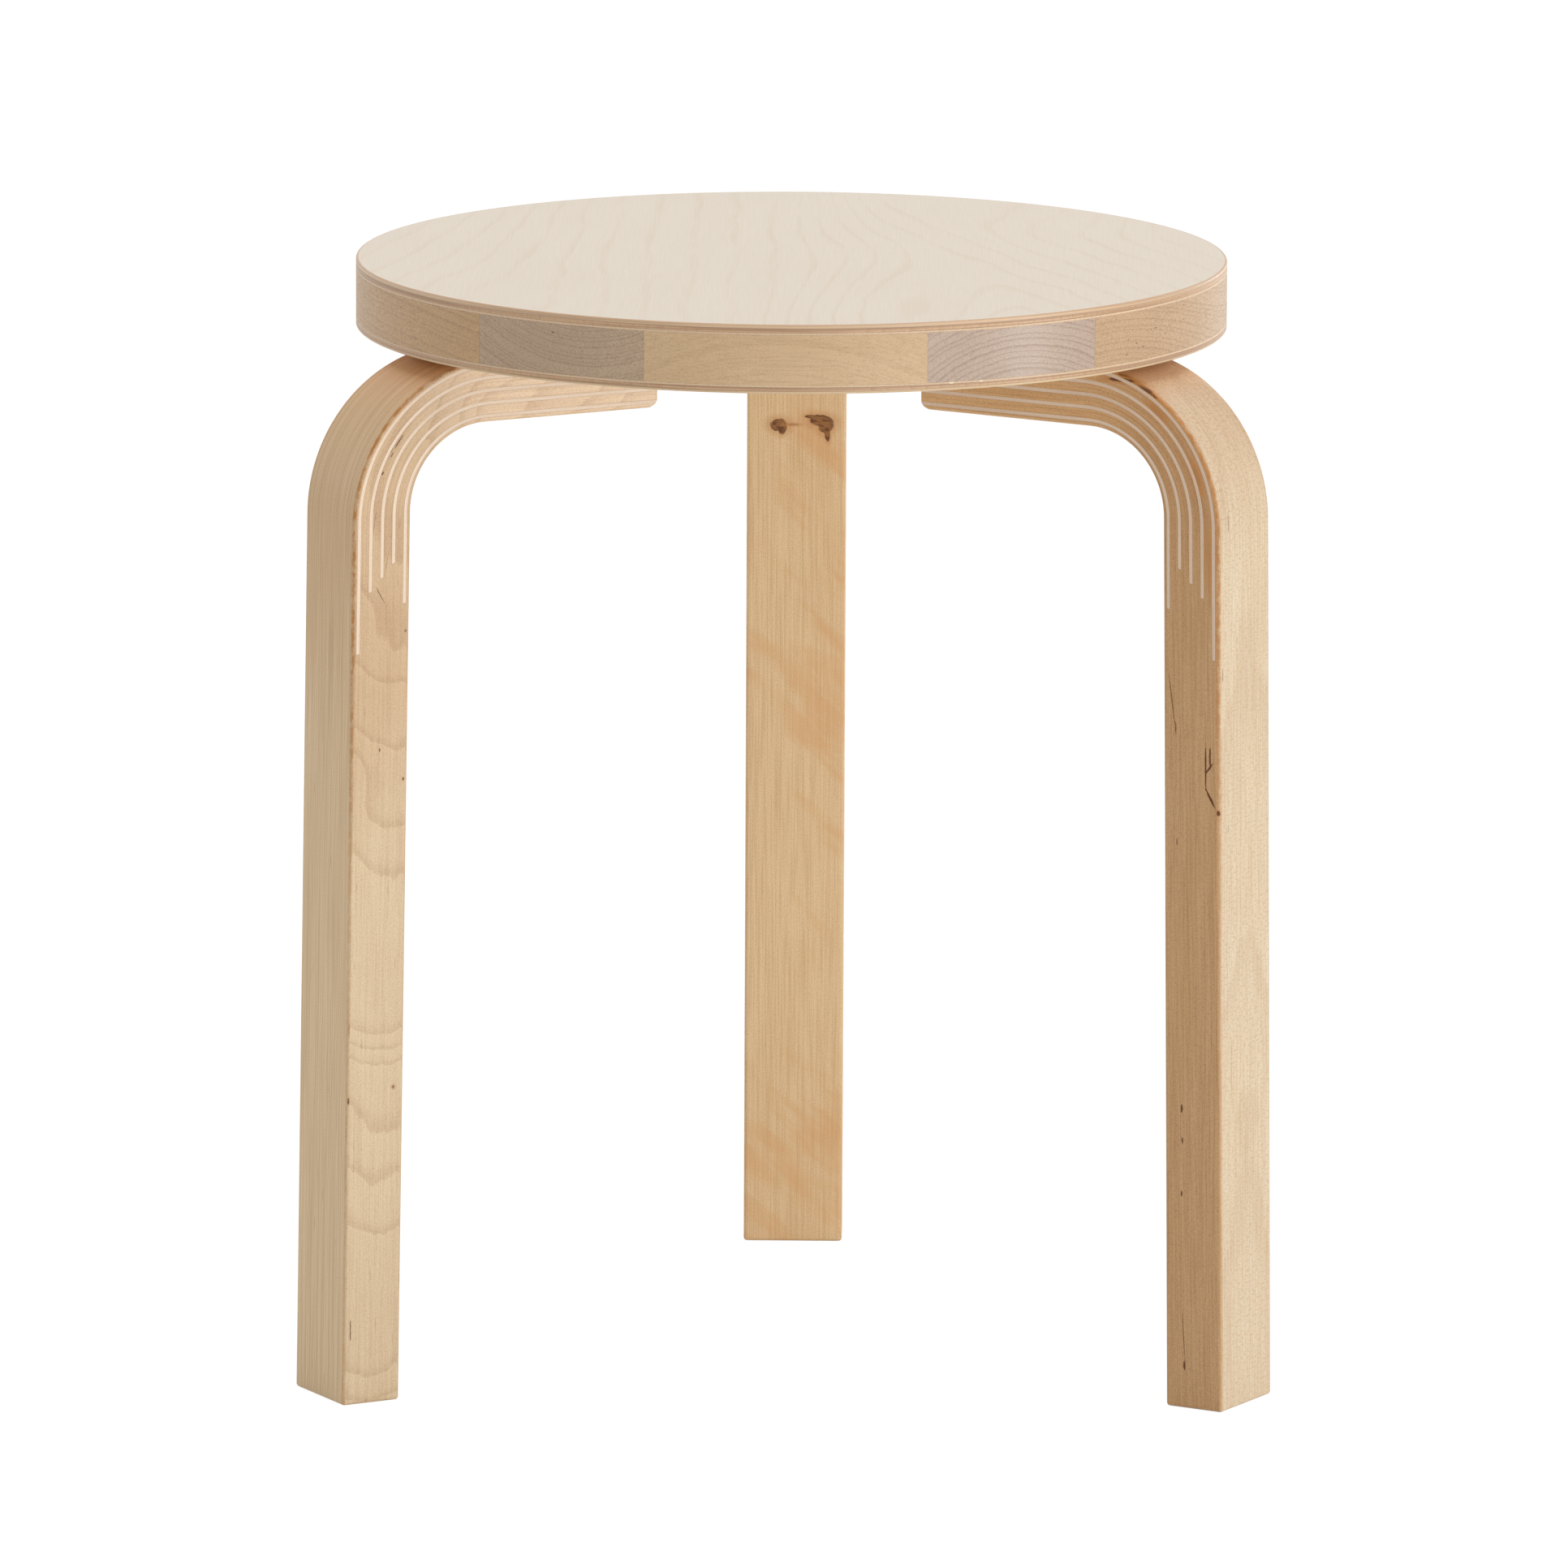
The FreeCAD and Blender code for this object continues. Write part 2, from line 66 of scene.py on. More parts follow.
photo_camera = bpy.data.cameras.new("photo_camera")
photo_camera.sensor_width = SENSOR_WIDTH
photo_camera.lens = FOCAL_PIXELS / PHOTO_SIDE * SENSOR_WIDTH
photo_camera.clip_end = 50.0
viewer = stand("viewer", photo_camera)
level_right = Vector((1, 0, 0))
level_up = Vector((0, math.sin(PITCH), math.cos(PITCH)))
view_right = level_right * math.cos(ROLL) + level_up * math.sin(ROLL)
view_up = level_up * math.cos(ROLL) - level_right * math.sin(ROLL)
stance = Matrix((view_right, view_up, view_right.cross(view_up))).transposed().to_4x4()
stance.translation = Vector((SIDESTEP, -STANDOFF, LENS_HEIGHT))
viewer.matrix_world = Matrix.Rotation(STOOL_TURN, 4, "Z") @ stance
bpy.context.scene.camera = viewer


# The seat's core is glued up from seven birch blocks with straight joints. Four of them run front to back,
# so the rim shows long grain on the rails and the side blocks, and end grain on the two stiles.
def fresh_tree(name, kind, inputs, outputs):
    """A node group with named sockets, where a plain name is a number's socket. Returns it with its input
    and output nodes' sockets."""
    group = bpy.data.node_groups.new(name, kind)
    for way, entries in (("INPUT", inputs), ("OUTPUT", outputs)):
        for entry in entries:
            label, socket_type, *value = (entry, "Float") if isinstance(entry, str) else entry
            socket = group.interface.new_socket(label, in_out=way, socket_type=f"NodeSocket{socket_type}")
            if value:
                socket.default_value = value[0]
    return group, group.nodes.new("NodeGroupInput").outputs, group.nodes.new("NodeGroupOutput").inputs


def open_socket(sockets, label):
    """The socket of that name or number that the node's settings leave open."""
    if isinstance(label, int):
        return sockets[label]
    return next(socket for socket in sockets if socket.name == label and socket.enabled)


def feed(socket, value):
    """Links a socket, or sets it."""
    if isinstance(value, bpy.types.NodeSocket):
        socket.id_data.links.new(value, socket)
    elif socket.type == "RGBA":
        socket.default_value = (*value, 1.0)
    else:
        socket.default_value = value


def put(tree, kind, inputs=None, **settings):
    """Adds a node with its settings and its inputs."""
    node = tree.nodes.new(kind)
    for key, value in settings.items():
        setattr(node, key, value)
    for label, value in (inputs or {}).items():
        feed(open_socket(node.inputs, label), value)
    return node


def join(kind, values, **settings):
    """Adds a node in the tree of the first linked value among those that it takes in order."""
    tree = next(value for value in values if isinstance(value, bpy.types.NodeSocket)).id_data
    node = put(tree, kind, **settings)
    for socket, value in zip([socket for socket in node.inputs if socket.enabled], values):
        feed(socket, value)
    return node


def calc(operation, *values, clamp=False):
    """A math node's result."""
    return join("ShaderNodeMath", values, operation=operation, use_clamp=clamp).outputs[0]


def plus(one, other):
    return calc("ADD", one, other)


def minus(one, other):
    return calc("SUBTRACT", one, other)


def times(one, other):
    return calc("MULTIPLY", one, other)


def total(*terms):
    """The sum of pairs of a value and its weight."""
    result = None
    for value, weight in terms:
        term = times(value, weight)
        result = term if result is None else plus(result, term)
    return result


def eased(value, low, high, out_low=0.0, out_high=1.0):
    """Maps a value from one range to another, eased and clamped."""
    return join("ShaderNodeMapRange", (value, low, high, out_low, out_high),
                interpolation_type="SMOOTHSTEP").outputs[0]


def mixed(share, one, other, blend="MIX"):
    """A colour between two others, or one tinted by the other where blend is MULTIPLY."""
    node = join("ShaderNodeMix", (share, one, other), data_type="RGBA", blend_type=blend)
    return next(socket for socket in node.outputs if socket.enabled)


def vector_of(x, y, z):
    return join("ShaderNodeCombineXYZ", (x, y, z)).outputs[0]


def parts_of(vector):
    return join("ShaderNodeSeparateXYZ", (vector,)).outputs


def vector_calc(operation, *values):
    """A vector math node's result, which is a number for LENGTH."""
    node = join("ShaderNodeVectorMath", values, operation=operation)
    return node.outputs["Value" if operation == "LENGTH" else "Vector"]


def noise(place, factors, detail=2.0, roughness=0.5):
    """Noise over a place that is scaled by its own factor each way."""
    place = vector_calc("MULTIPLY", place, factors)
    return put(place.id_data, "ShaderNodeTexNoise", {"Vector": place, "Scale": 1.0, "Detail": detail,
                                                     "Roughness": roughness}).outputs[0]


def piece_place(tree):
    return put(tree, "ShaderNodeTexCoord").outputs["Object"]


# Growth rings lie round a heart line that leans through the timber. Place is across, through and along it.
rings, rings_in, rings_out = fresh_tree(
    "growth_rings", "ShaderNodeTree",
    [("Place", "Vector"), ("Heart", "Vector"), ("Lean", "Vector"), "Ring Width", "Wander", "Waviness"],
    ["Line", "Season"])
here = parts_of(rings_in["Place"])
heart_at = parts_of(rings_in["Heart"])
lean_by = parts_of(rings_in["Lean"])
drift_place = vector_of(heart_at["X"], heart_at["Y"], times(here["Z"], 9.0))
drift_noise = put(rings, "ShaderNodeTexNoise", {"Vector": drift_place, "Scale": 1.0, "Detail": 2.0})
drift = put(rings, "ShaderNodeSeparateColor", {0: drift_noise.outputs["Color"]}).outputs
offsets = []
for axis, sway in (("X", drift[0]), ("Y", drift[1])):
    leaning = minus(here[axis], times(lean_by[axis], here["Z"]))
    swaying = times(minus(sway, 0.5), rings_in["Wander"])
    offsets.append(plus(minus(leaning, heart_at[axis]), swaying))
reach = calc("SQRT", total((offsets[0], offsets[0]), (offsets[1], offsets[1])))
wave = minus(noise(rings_in["Place"], (140.0, 140.0, 30.0), 3.0, 0.55), 0.5)
reach = plus(reach, times(wave, rings_in["Waviness"]))
age = calc("DIVIDE", reach, rings_in["Ring Width"])
good_years = put(rings, "ShaderNodeTexNoise", {"Scale": 0.45, "Detail": 1.0}, noise_dimensions="1D")
feed(good_years.inputs["W"], age)
season = calc("FRACT", plus(age, times(good_years.outputs[0], 1.8)))
feed(rings_out["Season"], season)
feed(rings_out["Line"], times(eased(season, 0.62, 0.93), eased(season, 0.95, 1.0, 1.0, 0.0)))

# Fibres, vessels and soft clouds of tone run along the timber. Speckle is the open grain of a cut face.
fibres, fibres_in, fibres_out = fresh_tree("fibres", "ShaderNodeTree", [("Place", "Vector"), "Vessel Share"],
                                           ["Fibre", "Speckle", "Vessel", "Cloud"])
grown = fibres_in["Place"]
for label, factors, detail, rough in (("Fibre", (1500.0, 1500.0, 28.0), 3.0, 0.6),
                                      ("Speckle", (2900.0, 2900.0, 2200.0), 1.0, 0.5),
                                      ("Cloud", (48.0, 48.0, 10.0), 3.0, 0.5)):
    feed(fibres_out[label], noise(grown, factors, detail, rough))
vessel_place = vector_calc("MULTIPLY", grown, (900.0, 900.0, 105.0))
vessel_cell = put(fibres, "ShaderNodeTexVoronoi", {"Vector": vessel_place, "Scale": 1.0})
vessel_pick = put(fibres, "ShaderNodeSeparateColor", {0: vessel_cell.outputs["Color"]}).outputs[0]
chosen = calc("LESS_THAN", vessel_pick, fibres_in["Vessel Share"])
vessel_body = eased(vessel_cell.outputs["Distance"], 0.12, 0.42, 1.0, 0.0)
feed(fibres_out["Vessel"], times(chosen, vessel_body))

# The lacquer reflects little, so that dark marks stay dark. The lift, added to every tone, is a painted
# sheen that makes up for it in the pale wood.
PAINTED_SHEEN_LIFT = 0.016


def birch(name, place_of, tones, heart=(0.0, 0.0, 0.0), lean=(0.0, 0.0, 0.0), ring_width=0.002,
          wander=0.004, waviness=0.0008, lines=0.3, season=0.15, cloud=0.5, fibre=0.2, speckle=0.1,
          vessels=0.35, vessel_share=0.05, gloss=0.42, coat=0.12, relief=0.25, extra=None):
    """Clear-lacquered birch. Tones are its pale, deep and line colours, and the strengths are how far
    each effect draws the colour to the line tone. extra(tree, place, colour) may add marks of its own."""
    material = bpy.data.materials.new(name)
    material.use_nodes = True
    tree = material.node_tree
    shader = tree.nodes["Principled BSDF"]
    place = place_of(tree)
    ringed = put(tree, "ShaderNodeGroup", node_tree=rings)
    for label, value in (("Place", place), ("Heart", heart), ("Lean", lean), ("Ring Width", ring_width),
                         ("Wander", wander), ("Waviness", waviness)):
        feed(ringed.inputs[label], value)
    fibred = put(tree, "ShaderNodeGroup", node_tree=fibres)
    feed(fibred.inputs["Place"], place)
    feed(fibred.inputs["Vessel Share"], vessel_share)
    out = fibred.outputs
    pale, deep, line = (tuple(channel + PAINTED_SHEEN_LIFT for channel in tone) for tone in tones)
    base = mixed(times(eased(out["Cloud"], 0.3, 0.7), cloud), pale, deep)
    amount = total((ringed.outputs["Line"], lines), (ringed.outputs["Season"], season),
                   (eased(out["Fibre"], 0.4, 0.66), fibre), (eased(out["Speckle"], 0.42, 0.7), speckle),
                   (out["Vessel"], vessels))
    colour = mixed(calc("MINIMUM", amount, 1.0), base, line)
    if extra:
        colour = extra(tree, place, colour)
    feed(shader.inputs["Base Color"], colour)
    roughness = eased(out["Fibre"], 0.3, 0.7, gloss - 0.04, gloss + 0.06)
    feed(shader.inputs["Roughness"], roughness)
    grain = total((out["Fibre"], 0.5), (out["Speckle"], 0.25), (out["Vessel"], -1.0))
    bump = put(tree, "ShaderNodeBump", {"Height": grain, "Strength": relief, "Distance": 0.00015})
    feed(shader.inputs["Normal"], bump.outputs[0])
    shader.inputs["Specular IOR Level"].default_value = 0.3
    shader.inputs["Coat Weight"].default_value = coat
    shader.inputs["Coat Roughness"].default_value = 0.32
    return material


def grain_along(axis):
    """A place in the seat's timber: across, up and along the grain, which runs on the X or the Y axis."""
    def place_of(tree):
        part = parts_of(piece_place(tree))
        across, along = ("Y", "X") if axis == "X" else ("X", "Y")
        return vector_of(part[across], part["Z"], part[along])
    return place_of


def dress(node, material):
    """Gives a CAD node its material."""
    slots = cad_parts[node].data.materials
    slots.clear()
    slots.append(material)


SEAT_RADIUS = 172.5 * MM
RAIL_HALF = 54.85 * MM
STILE_EDGE = 119.55 * MM
SEAT_MIDDLE = 426 * MM
RAIL_TONES = ((0.595, 0.415, 0.24), (0.53, 0.357, 0.19), (0.37, 0.23, 0.11))
LEFT_TONES = ((0.55, 0.354, 0.18), (0.50, 0.307, 0.146), (0.30, 0.175, 0.08))
RIGHT_TONES = ((0.51, 0.345, 0.20), (0.45, 0.29, 0.16), (0.29, 0.17, 0.085))
LEFT_END_TONES = ((0.485, 0.355, 0.24), (0.435, 0.31, 0.203), (0.27, 0.175, 0.105))
RIGHT_END_TONES = ((0.465, 0.35, 0.272), (0.42, 0.305, 0.228), (0.27, 0.18, 0.125))
GLUE_BROWN = (0.22, 0.13, 0.07)


def block_joints(tree, place, colour):
    """The thin dark glue lines between the core's blocks."""
    side = calc("ABSOLUTE", parts_of(piece_place(tree))["X"])
    gaps = [calc("ABSOLUTE", minus(side, edge)) for edge in (RAIL_HALF, STILE_EDGE)]
    nearest = calc("MINIMUM", *gaps)
    return mixed(eased(nearest, 0.02 * MM, 0.16 * MM, 0.45, 0.0), colour, GLUE_BROWN)


def fleck(turn, height, half_size, strength=0.8):
    """A small spot on the rim, at a turn in degrees from the front and a height in millimetres."""
    angle = math.radians(turn - 90)
    return (SEAT_RADIUS * math.cos(angle), SEAT_RADIUS * math.sin(angle), height * MM), half_size, strength


def spotted(where, spots, colour, tone):
    """Small spots of another tone on the rim."""
    for centre, half_size, strength in spots:
        off = vector_calc("SUBTRACT", where, centre)
        off = vector_calc("MULTIPLY", off, [1 / (size * MM) for size in half_size])
        away = vector_calc("LENGTH", off)
        colour = mixed(eased(away, 0.5, 1.0, strength, 0.0), colour, tone)
    return colour


def block_flecks(flecks):
    """The glue lines beside a block, and its flecks."""
    def extra(tree, place, colour):
        return block_joints(tree, place, spotted(piece_place(tree), flecks, colour, FLECK_BROWN))
    return extra


FLECK_BROWN = (0.13, 0.05, 0.01)
SPOT, DASH = (0.5, 0.5, 0.32), (1.0, 0.8, 0.35)
LEFT_FLECKS = [fleck(-61.6, 431.6, DASH, 0.75)]
LEFT_END_FLECKS = [fleck(-31.6, 432.4, DASH)]
RIGHT_FLECKS = [fleck(*spot) for spot in (
    (50.3, 425.2, SPOT), (52.0, 423.2, DASH), (54.3, 427.5, SPOT), (55.2, 427.4, SPOT), (56.3, 427.7, DASH),
    (59.0, 426.6, SPOT), (63.6, 428.2, DASH), (50.0, 419.4, DASH), (52.4, 421.0, SPOT), (53.4, 421.5, DASH),
    (56.4, 423.4, SPOT), (58.6, 424.6, SPOT), (63.6, 433.8, DASH), (67.2, 434.6, SPOT), (72.0, 432.4, SPOT))]
WOODS = {
    "rail": dict(
        tones=RAIL_TONES, axis="X", heart=(0.1, 0.6, 0.0), ring_width=0.0016, lines=0.10, season=0.06,
        fibre=0.22, speckle=0.42, vessels=0.1, extra=block_joints),
    "left_side": dict(
        tones=LEFT_TONES, axis="Y", heart=(-0.30, SEAT_MIDDLE - 0.9, 0.0), ring_width=0.0031,
        waviness=0.0012, lines=0.20, season=0.10, fibre=0.40, speckle=0.36, vessel_share=0.012,
        extra=block_flecks(LEFT_FLECKS)),
    "right_side": dict(
        tones=RIGHT_TONES, axis="Y", heart=(0.128, SEAT_MIDDLE - 0.052, 0.0), ring_width=0.0022, lines=0.25,
        season=0.10, fibre=0.40, speckle=0.32, vessels=0.4, vessel_share=0.012,
        extra=block_flecks(RIGHT_FLECKS)),
    "left_end": dict(
        tones=LEFT_END_TONES, axis="Y", heart=(-0.078, SEAT_MIDDLE + 0.058, 0.0), ring_width=0.0021,
        waviness=0.0012, lines=0.24, season=0.12, fibre=0.34, speckle=0.44, vessels=0.2, gloss=0.40,
        extra=block_flecks(LEFT_END_FLECKS)),
    "right_end": dict(
        tones=RIGHT_END_TONES, axis="Y", heart=(0.092, SEAT_MIDDLE - 0.050, 0.0), ring_width=0.0024,
        waviness=0.0014, lines=0.42, season=0.14, fibre=0.34, speckle=0.38, vessels=0.2, gloss=0.32,
        coat=0.35, extra=block_joints),
}
BLOCKS = {"core_front_rail": "rail", "core_rear_rail": "rail", "core_centre_panel": "rail",
          "core_left_side_block": "left_side", "core_right_side_block": "right_side",
          "core_left_stile": "left_end", "core_right_stile": "right_end"}
timbers = {}
for wood, figure in WOODS.items():
    timbers[wood] = birch(f"{wood}_birch", grain_along(figure.pop("axis")), **figure)
for block, wood in BLOCKS.items():
    dress(block, timbers[wood])

# Six birch veneers cover the core, three above and three below. The cross plies are darker, and the disc is
# turned and sanded as one, so their edges are flush and the two outer arrises are softened.
SEAT_ARRIS = 0.8 * MM
PLY_ARRIS = 0.04 * MM
DISC_SEGMENTS = 288
ROUND_STEPS = 6
SHARP_CORNER = math.radians(32)
QUARTER = math.pi / 2


def set_sizes(piece, tree, sizes):
    """Adds a tree to a piece as a modifier, with its inputs set by their sockets' identifiers."""
    modifier = piece.modifiers.new(tree.name, "NODES")
    modifier.node_group = tree
    for item in tree.interface.items_tree:
        if item.in_out == "INPUT" and item.name in sizes:
            modifier[item.identifier] = sizes[item.name]


def settle(piece):
    """Turns a piece's modifiers into a plain mesh with even, face-weighted normals."""
    weighting = piece.modifiers.new("weighting", "WEIGHTED_NORMAL")
    weighting.keep_sharp = True
    depsgraph = bpy.context.evaluated_depsgraph_get()
    shaped = bpy.data.meshes.new_from_object(piece.evaluated_get(depsgraph), preserve_all_data_layers=True,
                                             depsgraph=depsgraph)
    piece.modifiers.clear()
    piece.data = shaped


def piece_tree(name, *sizes):
    """A tree that shapes one piece to its sizes, and gives it its material."""
    return fresh_tree(name, "GeometryNodeTree", [("Geometry", "Geometry"), *sizes, ("Material", "Material")],
                      [("Geometry", "Geometry")])


def ended(tree, geometry, inputs, outputs):
    """The end of every piece's tree: smooth shading with sharp edges where faces meet at a steep angle,
    instances made real, and the material set."""
    smooth = put(tree, "GeometryNodeSetShadeSmooth", {0: geometry, "Shade Smooth": True}, domain="FACE")
    corner = put(tree, "GeometryNodeInputMeshEdgeAngle").outputs["Unsigned Angle"]
    steep = calc("GREATER_THAN", corner, SHARP_CORNER)
    crisp = put(tree, "GeometryNodeSetShadeSmooth", {0: smooth.outputs[0], "Selection": steep,
                                                     "Shade Smooth": False}, domain="EDGE")
    real = put(tree, "GeometryNodeRealizeInstances", {0: crisp.outputs[0]})
    finished = put(tree, "GeometryNodeSetMaterial", {0: real.outputs[0], "Material": inputs["Material"]})
    feed(outputs["Geometry"], finished.outputs[0])


def spun_grid(tree, rows, last, segments):
    """A grid that is to be rolled into a turned shape, with its row numbers and its angles."""
    grid = put(tree, "GeometryNodeMeshGrid", {"Size X": 1.0, "Size Y": 1.0, "Vertices X": segments,
                                              "Vertices Y": rows})
    where = parts_of(put(tree, "GeometryNodeInputPosition").outputs[0])
    row = calc("ROUND", times(plus(where["Y"], 0.5), last))
    angle = times(plus(where["X"], 0.5), 2 * math.pi)
    return grid.outputs["Mesh"], row, angle


def between_poles(row, last):
    """One on every row but the first and the last, which close the shape at its axis."""
    before_end = calc("LESS_THAN", plus(row, 0.5), last)
    return times(calc("GREATER_THAN", row, 0.5), before_end)


def roll(tree, grid, radius, height, angle):
    """Rolls the grid about the Z axis and closes its seam and its two poles."""
    x = times(radius, calc("COSINE", angle))
    y = times(radius, calc("SINE", angle))
    rolled = put(tree, "GeometryNodeSetPosition", {0: grid, "Position": vector_of(x, y, height)})
    return put(tree, "GeometryNodeMergeByDistance", {0: rolled.outputs[0], "Distance": 1e-6}).outputs[0]


disc, disc_in, disc_out = piece_tree("turned_disc", "Radius", "Bottom", "Top", "Lower Round", "Upper Round",
                                     ("Segments", "Int"))
disc_last = 2 * ROUND_STEPS + 3
disc_grid, disc_row, disc_angle = spun_grid(disc, disc_last + 1, disc_last, plus(disc_in["Segments"], 1.0))
round_turns = []
for first_row in (1.0, ROUND_STEPS + 2.0):
    climbed = calc("DIVIDE", minus(disc_row, first_row), ROUND_STEPS, clamp=True)
    round_turns.append(times(climbed, QUARTER))
lower_turn, upper_turn = round_turns
drawn_in = total((disc_in["Lower Round"], minus(1.0, calc("SINE", lower_turn))),
                 (disc_in["Upper Round"], minus(1.0, calc("COSINE", upper_turn))))
disc_radius = times(between_poles(disc_row, disc_last), minus(disc_in["Radius"], drawn_in))
straight = minus(minus(disc_in["Top"], disc_in["Bottom"]),
                 plus(disc_in["Lower Round"], disc_in["Upper Round"]))
disc_height = plus(disc_in["Bottom"], total(
    (disc_in["Lower Round"], minus(1.0, calc("COSINE", lower_turn))),
    (straight, calc("GREATER_THAN", disc_row, ROUND_STEPS + 1.5)),
    (disc_in["Upper Round"], calc("SINE", upper_turn))))
ended(disc, roll(disc, disc_grid, disc_radius, disc_height, disc_angle), disc_in, disc_out)


def ply_edge(glue_levels, streaking, edge_tone=None, arris=None, figure=None):
    """Fine lines along a veneer's sanded edge, its thin glue lines at the heights given, the browner tone of
    its rounded arris, and a figure of its own on the flat."""
    def extra(tree, place, colour):
        where = piece_place(tree)
        height = parts_of(where)["Z"]
        from_axis = vector_calc("LENGTH", vector_calc("MULTIPLY", where, (1.0, 1.0, 0.0)))
        if figure:
            colour = figure(where, colour)
        rim = eased(from_axis, SEAT_RADIUS - 1.1 * MM, SEAT_RADIUS - 0.7 * MM)
        if edge_tone:
            colour = mixed(rim, colour, edge_tone)
        streak = times(eased(noise(where, (9.0, 9.0, 1500.0), 2.0, 0.6), 0.42, 0.58), streaking)
        colour = mixed(times(streak, rim), colour, PLY_LINE)
        if arris:
            low, high, share = arris
            colour = mixed(times(eased(height, low, high, 0.0, share), rim), colour, ARRIS_BROWN)
        for level in glue_levels:
            glue = eased(calc("ABSOLUTE", minus(height, level)), 0.04 * MM, 0.17 * MM, 0.5, 0.0)
            colour = mixed(times(glue, rim), colour, GLUE_BROWN)
        return colour
    return extra


def plain_sawn(where, colour):
    """The contour lines of a plain-sawn sheet: nearly straight on the left, and looped on the right."""
    spot = parts_of(where)
    x, y = spot["X"], spot["Y"]

    def hill(centre, half_size):
        off = vector_calc("SUBTRACT", vector_of(x, y, 0.0), (*centre, 0.0))
        off = vector_calc("MULTIPLY", off, (1 / half_size[0], 1 / half_size[1], 0.0))
        return eased(vector_calc("LENGTH", off), 0.0, 1.0, 1.0, 0.0)

    lean = times(y, eased(x, -0.16, -0.06, -0.26, 0.0))
    swing = times(y, eased(x, -0.01, 0.045, 0.0, 0.42))
    drift = minus(noise(where, (34.0, 13.0, 1.0), 1.0, 0.5), 0.5)
    age = total((plus(x, plus(lean, swing)), 1 / FIGURE_SPACING),
                (hill((0.042, -0.185), (0.055, 0.225)), 6.0), (hill((0.112, 0.19), (0.095, 0.15)), -4.2),
                (drift, 0.8))
    ring = calc("FRACT", plus(age, FIGURE_START))
    late = times(eased(ring, 0.66, 0.90), eased(ring, 0.92, 1.0, 1.0, 0.0))
    patchy = eased(noise(where, (26.0, 18.0, 1.0), 2.0, 0.5), 0.3, 0.7, 0.07, 0.22)
    return mixed(times(late, patchy), colour, FIGURE_BROWN)


def filler_spots(where, colour):
    """Two small spots of pale filler in the edge of the lower inner ply, right of the front."""
    height = sum(corner.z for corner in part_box("bottom_inner_veneer")) / 2 / MM
    spots = [fleck(turn, height, (wide, wide, FILLER_HIGH), 0.85) for turn, wide in FILLER_TURNS]
    return spotted(where, spots, colour, FILLER_CREAM)


FILLER_CREAM = (0.86, 0.74, 0.50)
FILLER_TURNS = ((21.8, 1.2), (26.0, 0.9))
FILLER_HIGH = 0.75
FIGURE_SPACING = 16 * MM
FIGURE_START = 0.35
FIGURE_BROWN = (0.50, 0.335, 0.20)
PLY_LINE = (0.27, 0.145, 0.08)
PLY_EDGE = (0.60, 0.42, 0.265)
LOWER_EDGE = (0.63, 0.465, 0.285)
ARRIS_BROWN = (0.43, 0.255, 0.14)
FACE_TONES = ((0.60, 0.515, 0.405), (0.58, 0.49, 0.378), (0.47, 0.36, 0.25))
INNER_TONES = ((0.68, 0.50, 0.33), (0.63, 0.45, 0.28), (0.44, 0.28, 0.16))
CROSS_TONES = ((0.58, 0.38, 0.225), (0.53, 0.335, 0.19), (0.34, 0.185, 0.09))
face_figure = dict(heart=(-1.6, 0.43, 0.0), lines=0.0, season=0.0, cloud=0.6, fibre=0.02, speckle=0.14,
                   vessels=0.12, vessel_share=0.03, gloss=0.40, coat=0.25, relief=0.08)
inner_figure = dict(heart=(0.5, 0.43, 0.0), lines=0.1, fibre=0.15, speckle=0.2, vessels=0.0)
PLIES = (("top_face_veneer", "seat_face_birch", FACE_TONES, "Y", face_figure, 0.30),
         ("top_cross_veneer", "seat_cross_birch", CROSS_TONES, "X", inner_figure, 0.55),
         ("top_inner_veneer", "seat_inner_birch", INNER_TONES, "Y", inner_figure, 0.10),
         ("bottom_inner_veneer", "seat_inner_birch", INNER_TONES, "Y", inner_figure, 0.10),
         ("bottom_cross_veneer", "seat_cross_birch", CROSS_TONES, "X", inner_figure, 0.55),
         ("bottom_face_veneer", "seat_face_birch", FACE_TONES, "Y", face_figure, 0.22))
plies = {}
for node, finish, tones, axis, figure, streaking in PLIES:
    bottom, top = (corner.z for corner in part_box(node))
    upper_arris = (top - 0.60 * MM, top - 0.20 * MM, 0.75)
    edge = {"top_face_veneer": ([bottom], streaking, PLY_EDGE, upper_arris, plain_sawn),
            "bottom_face_veneer": ([top], streaking, LOWER_EDGE, None, plain_sawn),
            "bottom_inner_veneer": ([bottom, top], streaking, None, None, filler_spots),
            }.get(node, ([bottom, top], streaking))
    timber = birch(f"{node}_birch", grain_along(axis), tones, extra=ply_edge(*edge), **figure)
    ply = stand(f"{node}_sheet", bpy.data.meshes.new(node))
    set_sizes(ply, disc, {"Radius": SEAT_RADIUS, "Bottom": bottom, "Top": top,
                          "Lower Round": SEAT_ARRIS if node == "bottom_face_veneer" else PLY_ARRIS,
                          "Upper Round": SEAT_ARRIS if node == "top_face_veneer" else PLY_ARRIS,
                          "Segments": DISC_SEGMENTS, "Material": timber})
    plies[node] = ply

# Three countersunk screws hold each arm to the seat from below: a pair near the arm's end and one nearer
# the bend. Their holes go up through the arm and its veneer strips, and on into the seat as pilot holes.
PAIR_RADIUS = 85 * MM
SINGLE_RADIUS = 126 * MM
PAIR_SPACING = 20 * MM
ARM_UNDERSIDE = 387.8 * MM
SEAT_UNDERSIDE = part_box("bottom_face_veneer")[0].z
DRILL_DIAMETER = 5.8 * MM
SINK_DIAMETER = 9.8 * MM
SINK_LAND = 1.15 * MM
DRILL_LENGTH = 30 * MM
PILOT_DIAMETER = 5.0 * MM
PILOT_LENGTH = 6 * MM
LEG_TURNS = {"front_left": 210, "front_right": 330, "rear": 90}
SITE_SIZES = {"Pair Radius": PAIR_RADIUS, "Single Radius": SINGLE_RADIUS, "Pair Spacing": PAIR_SPACING}
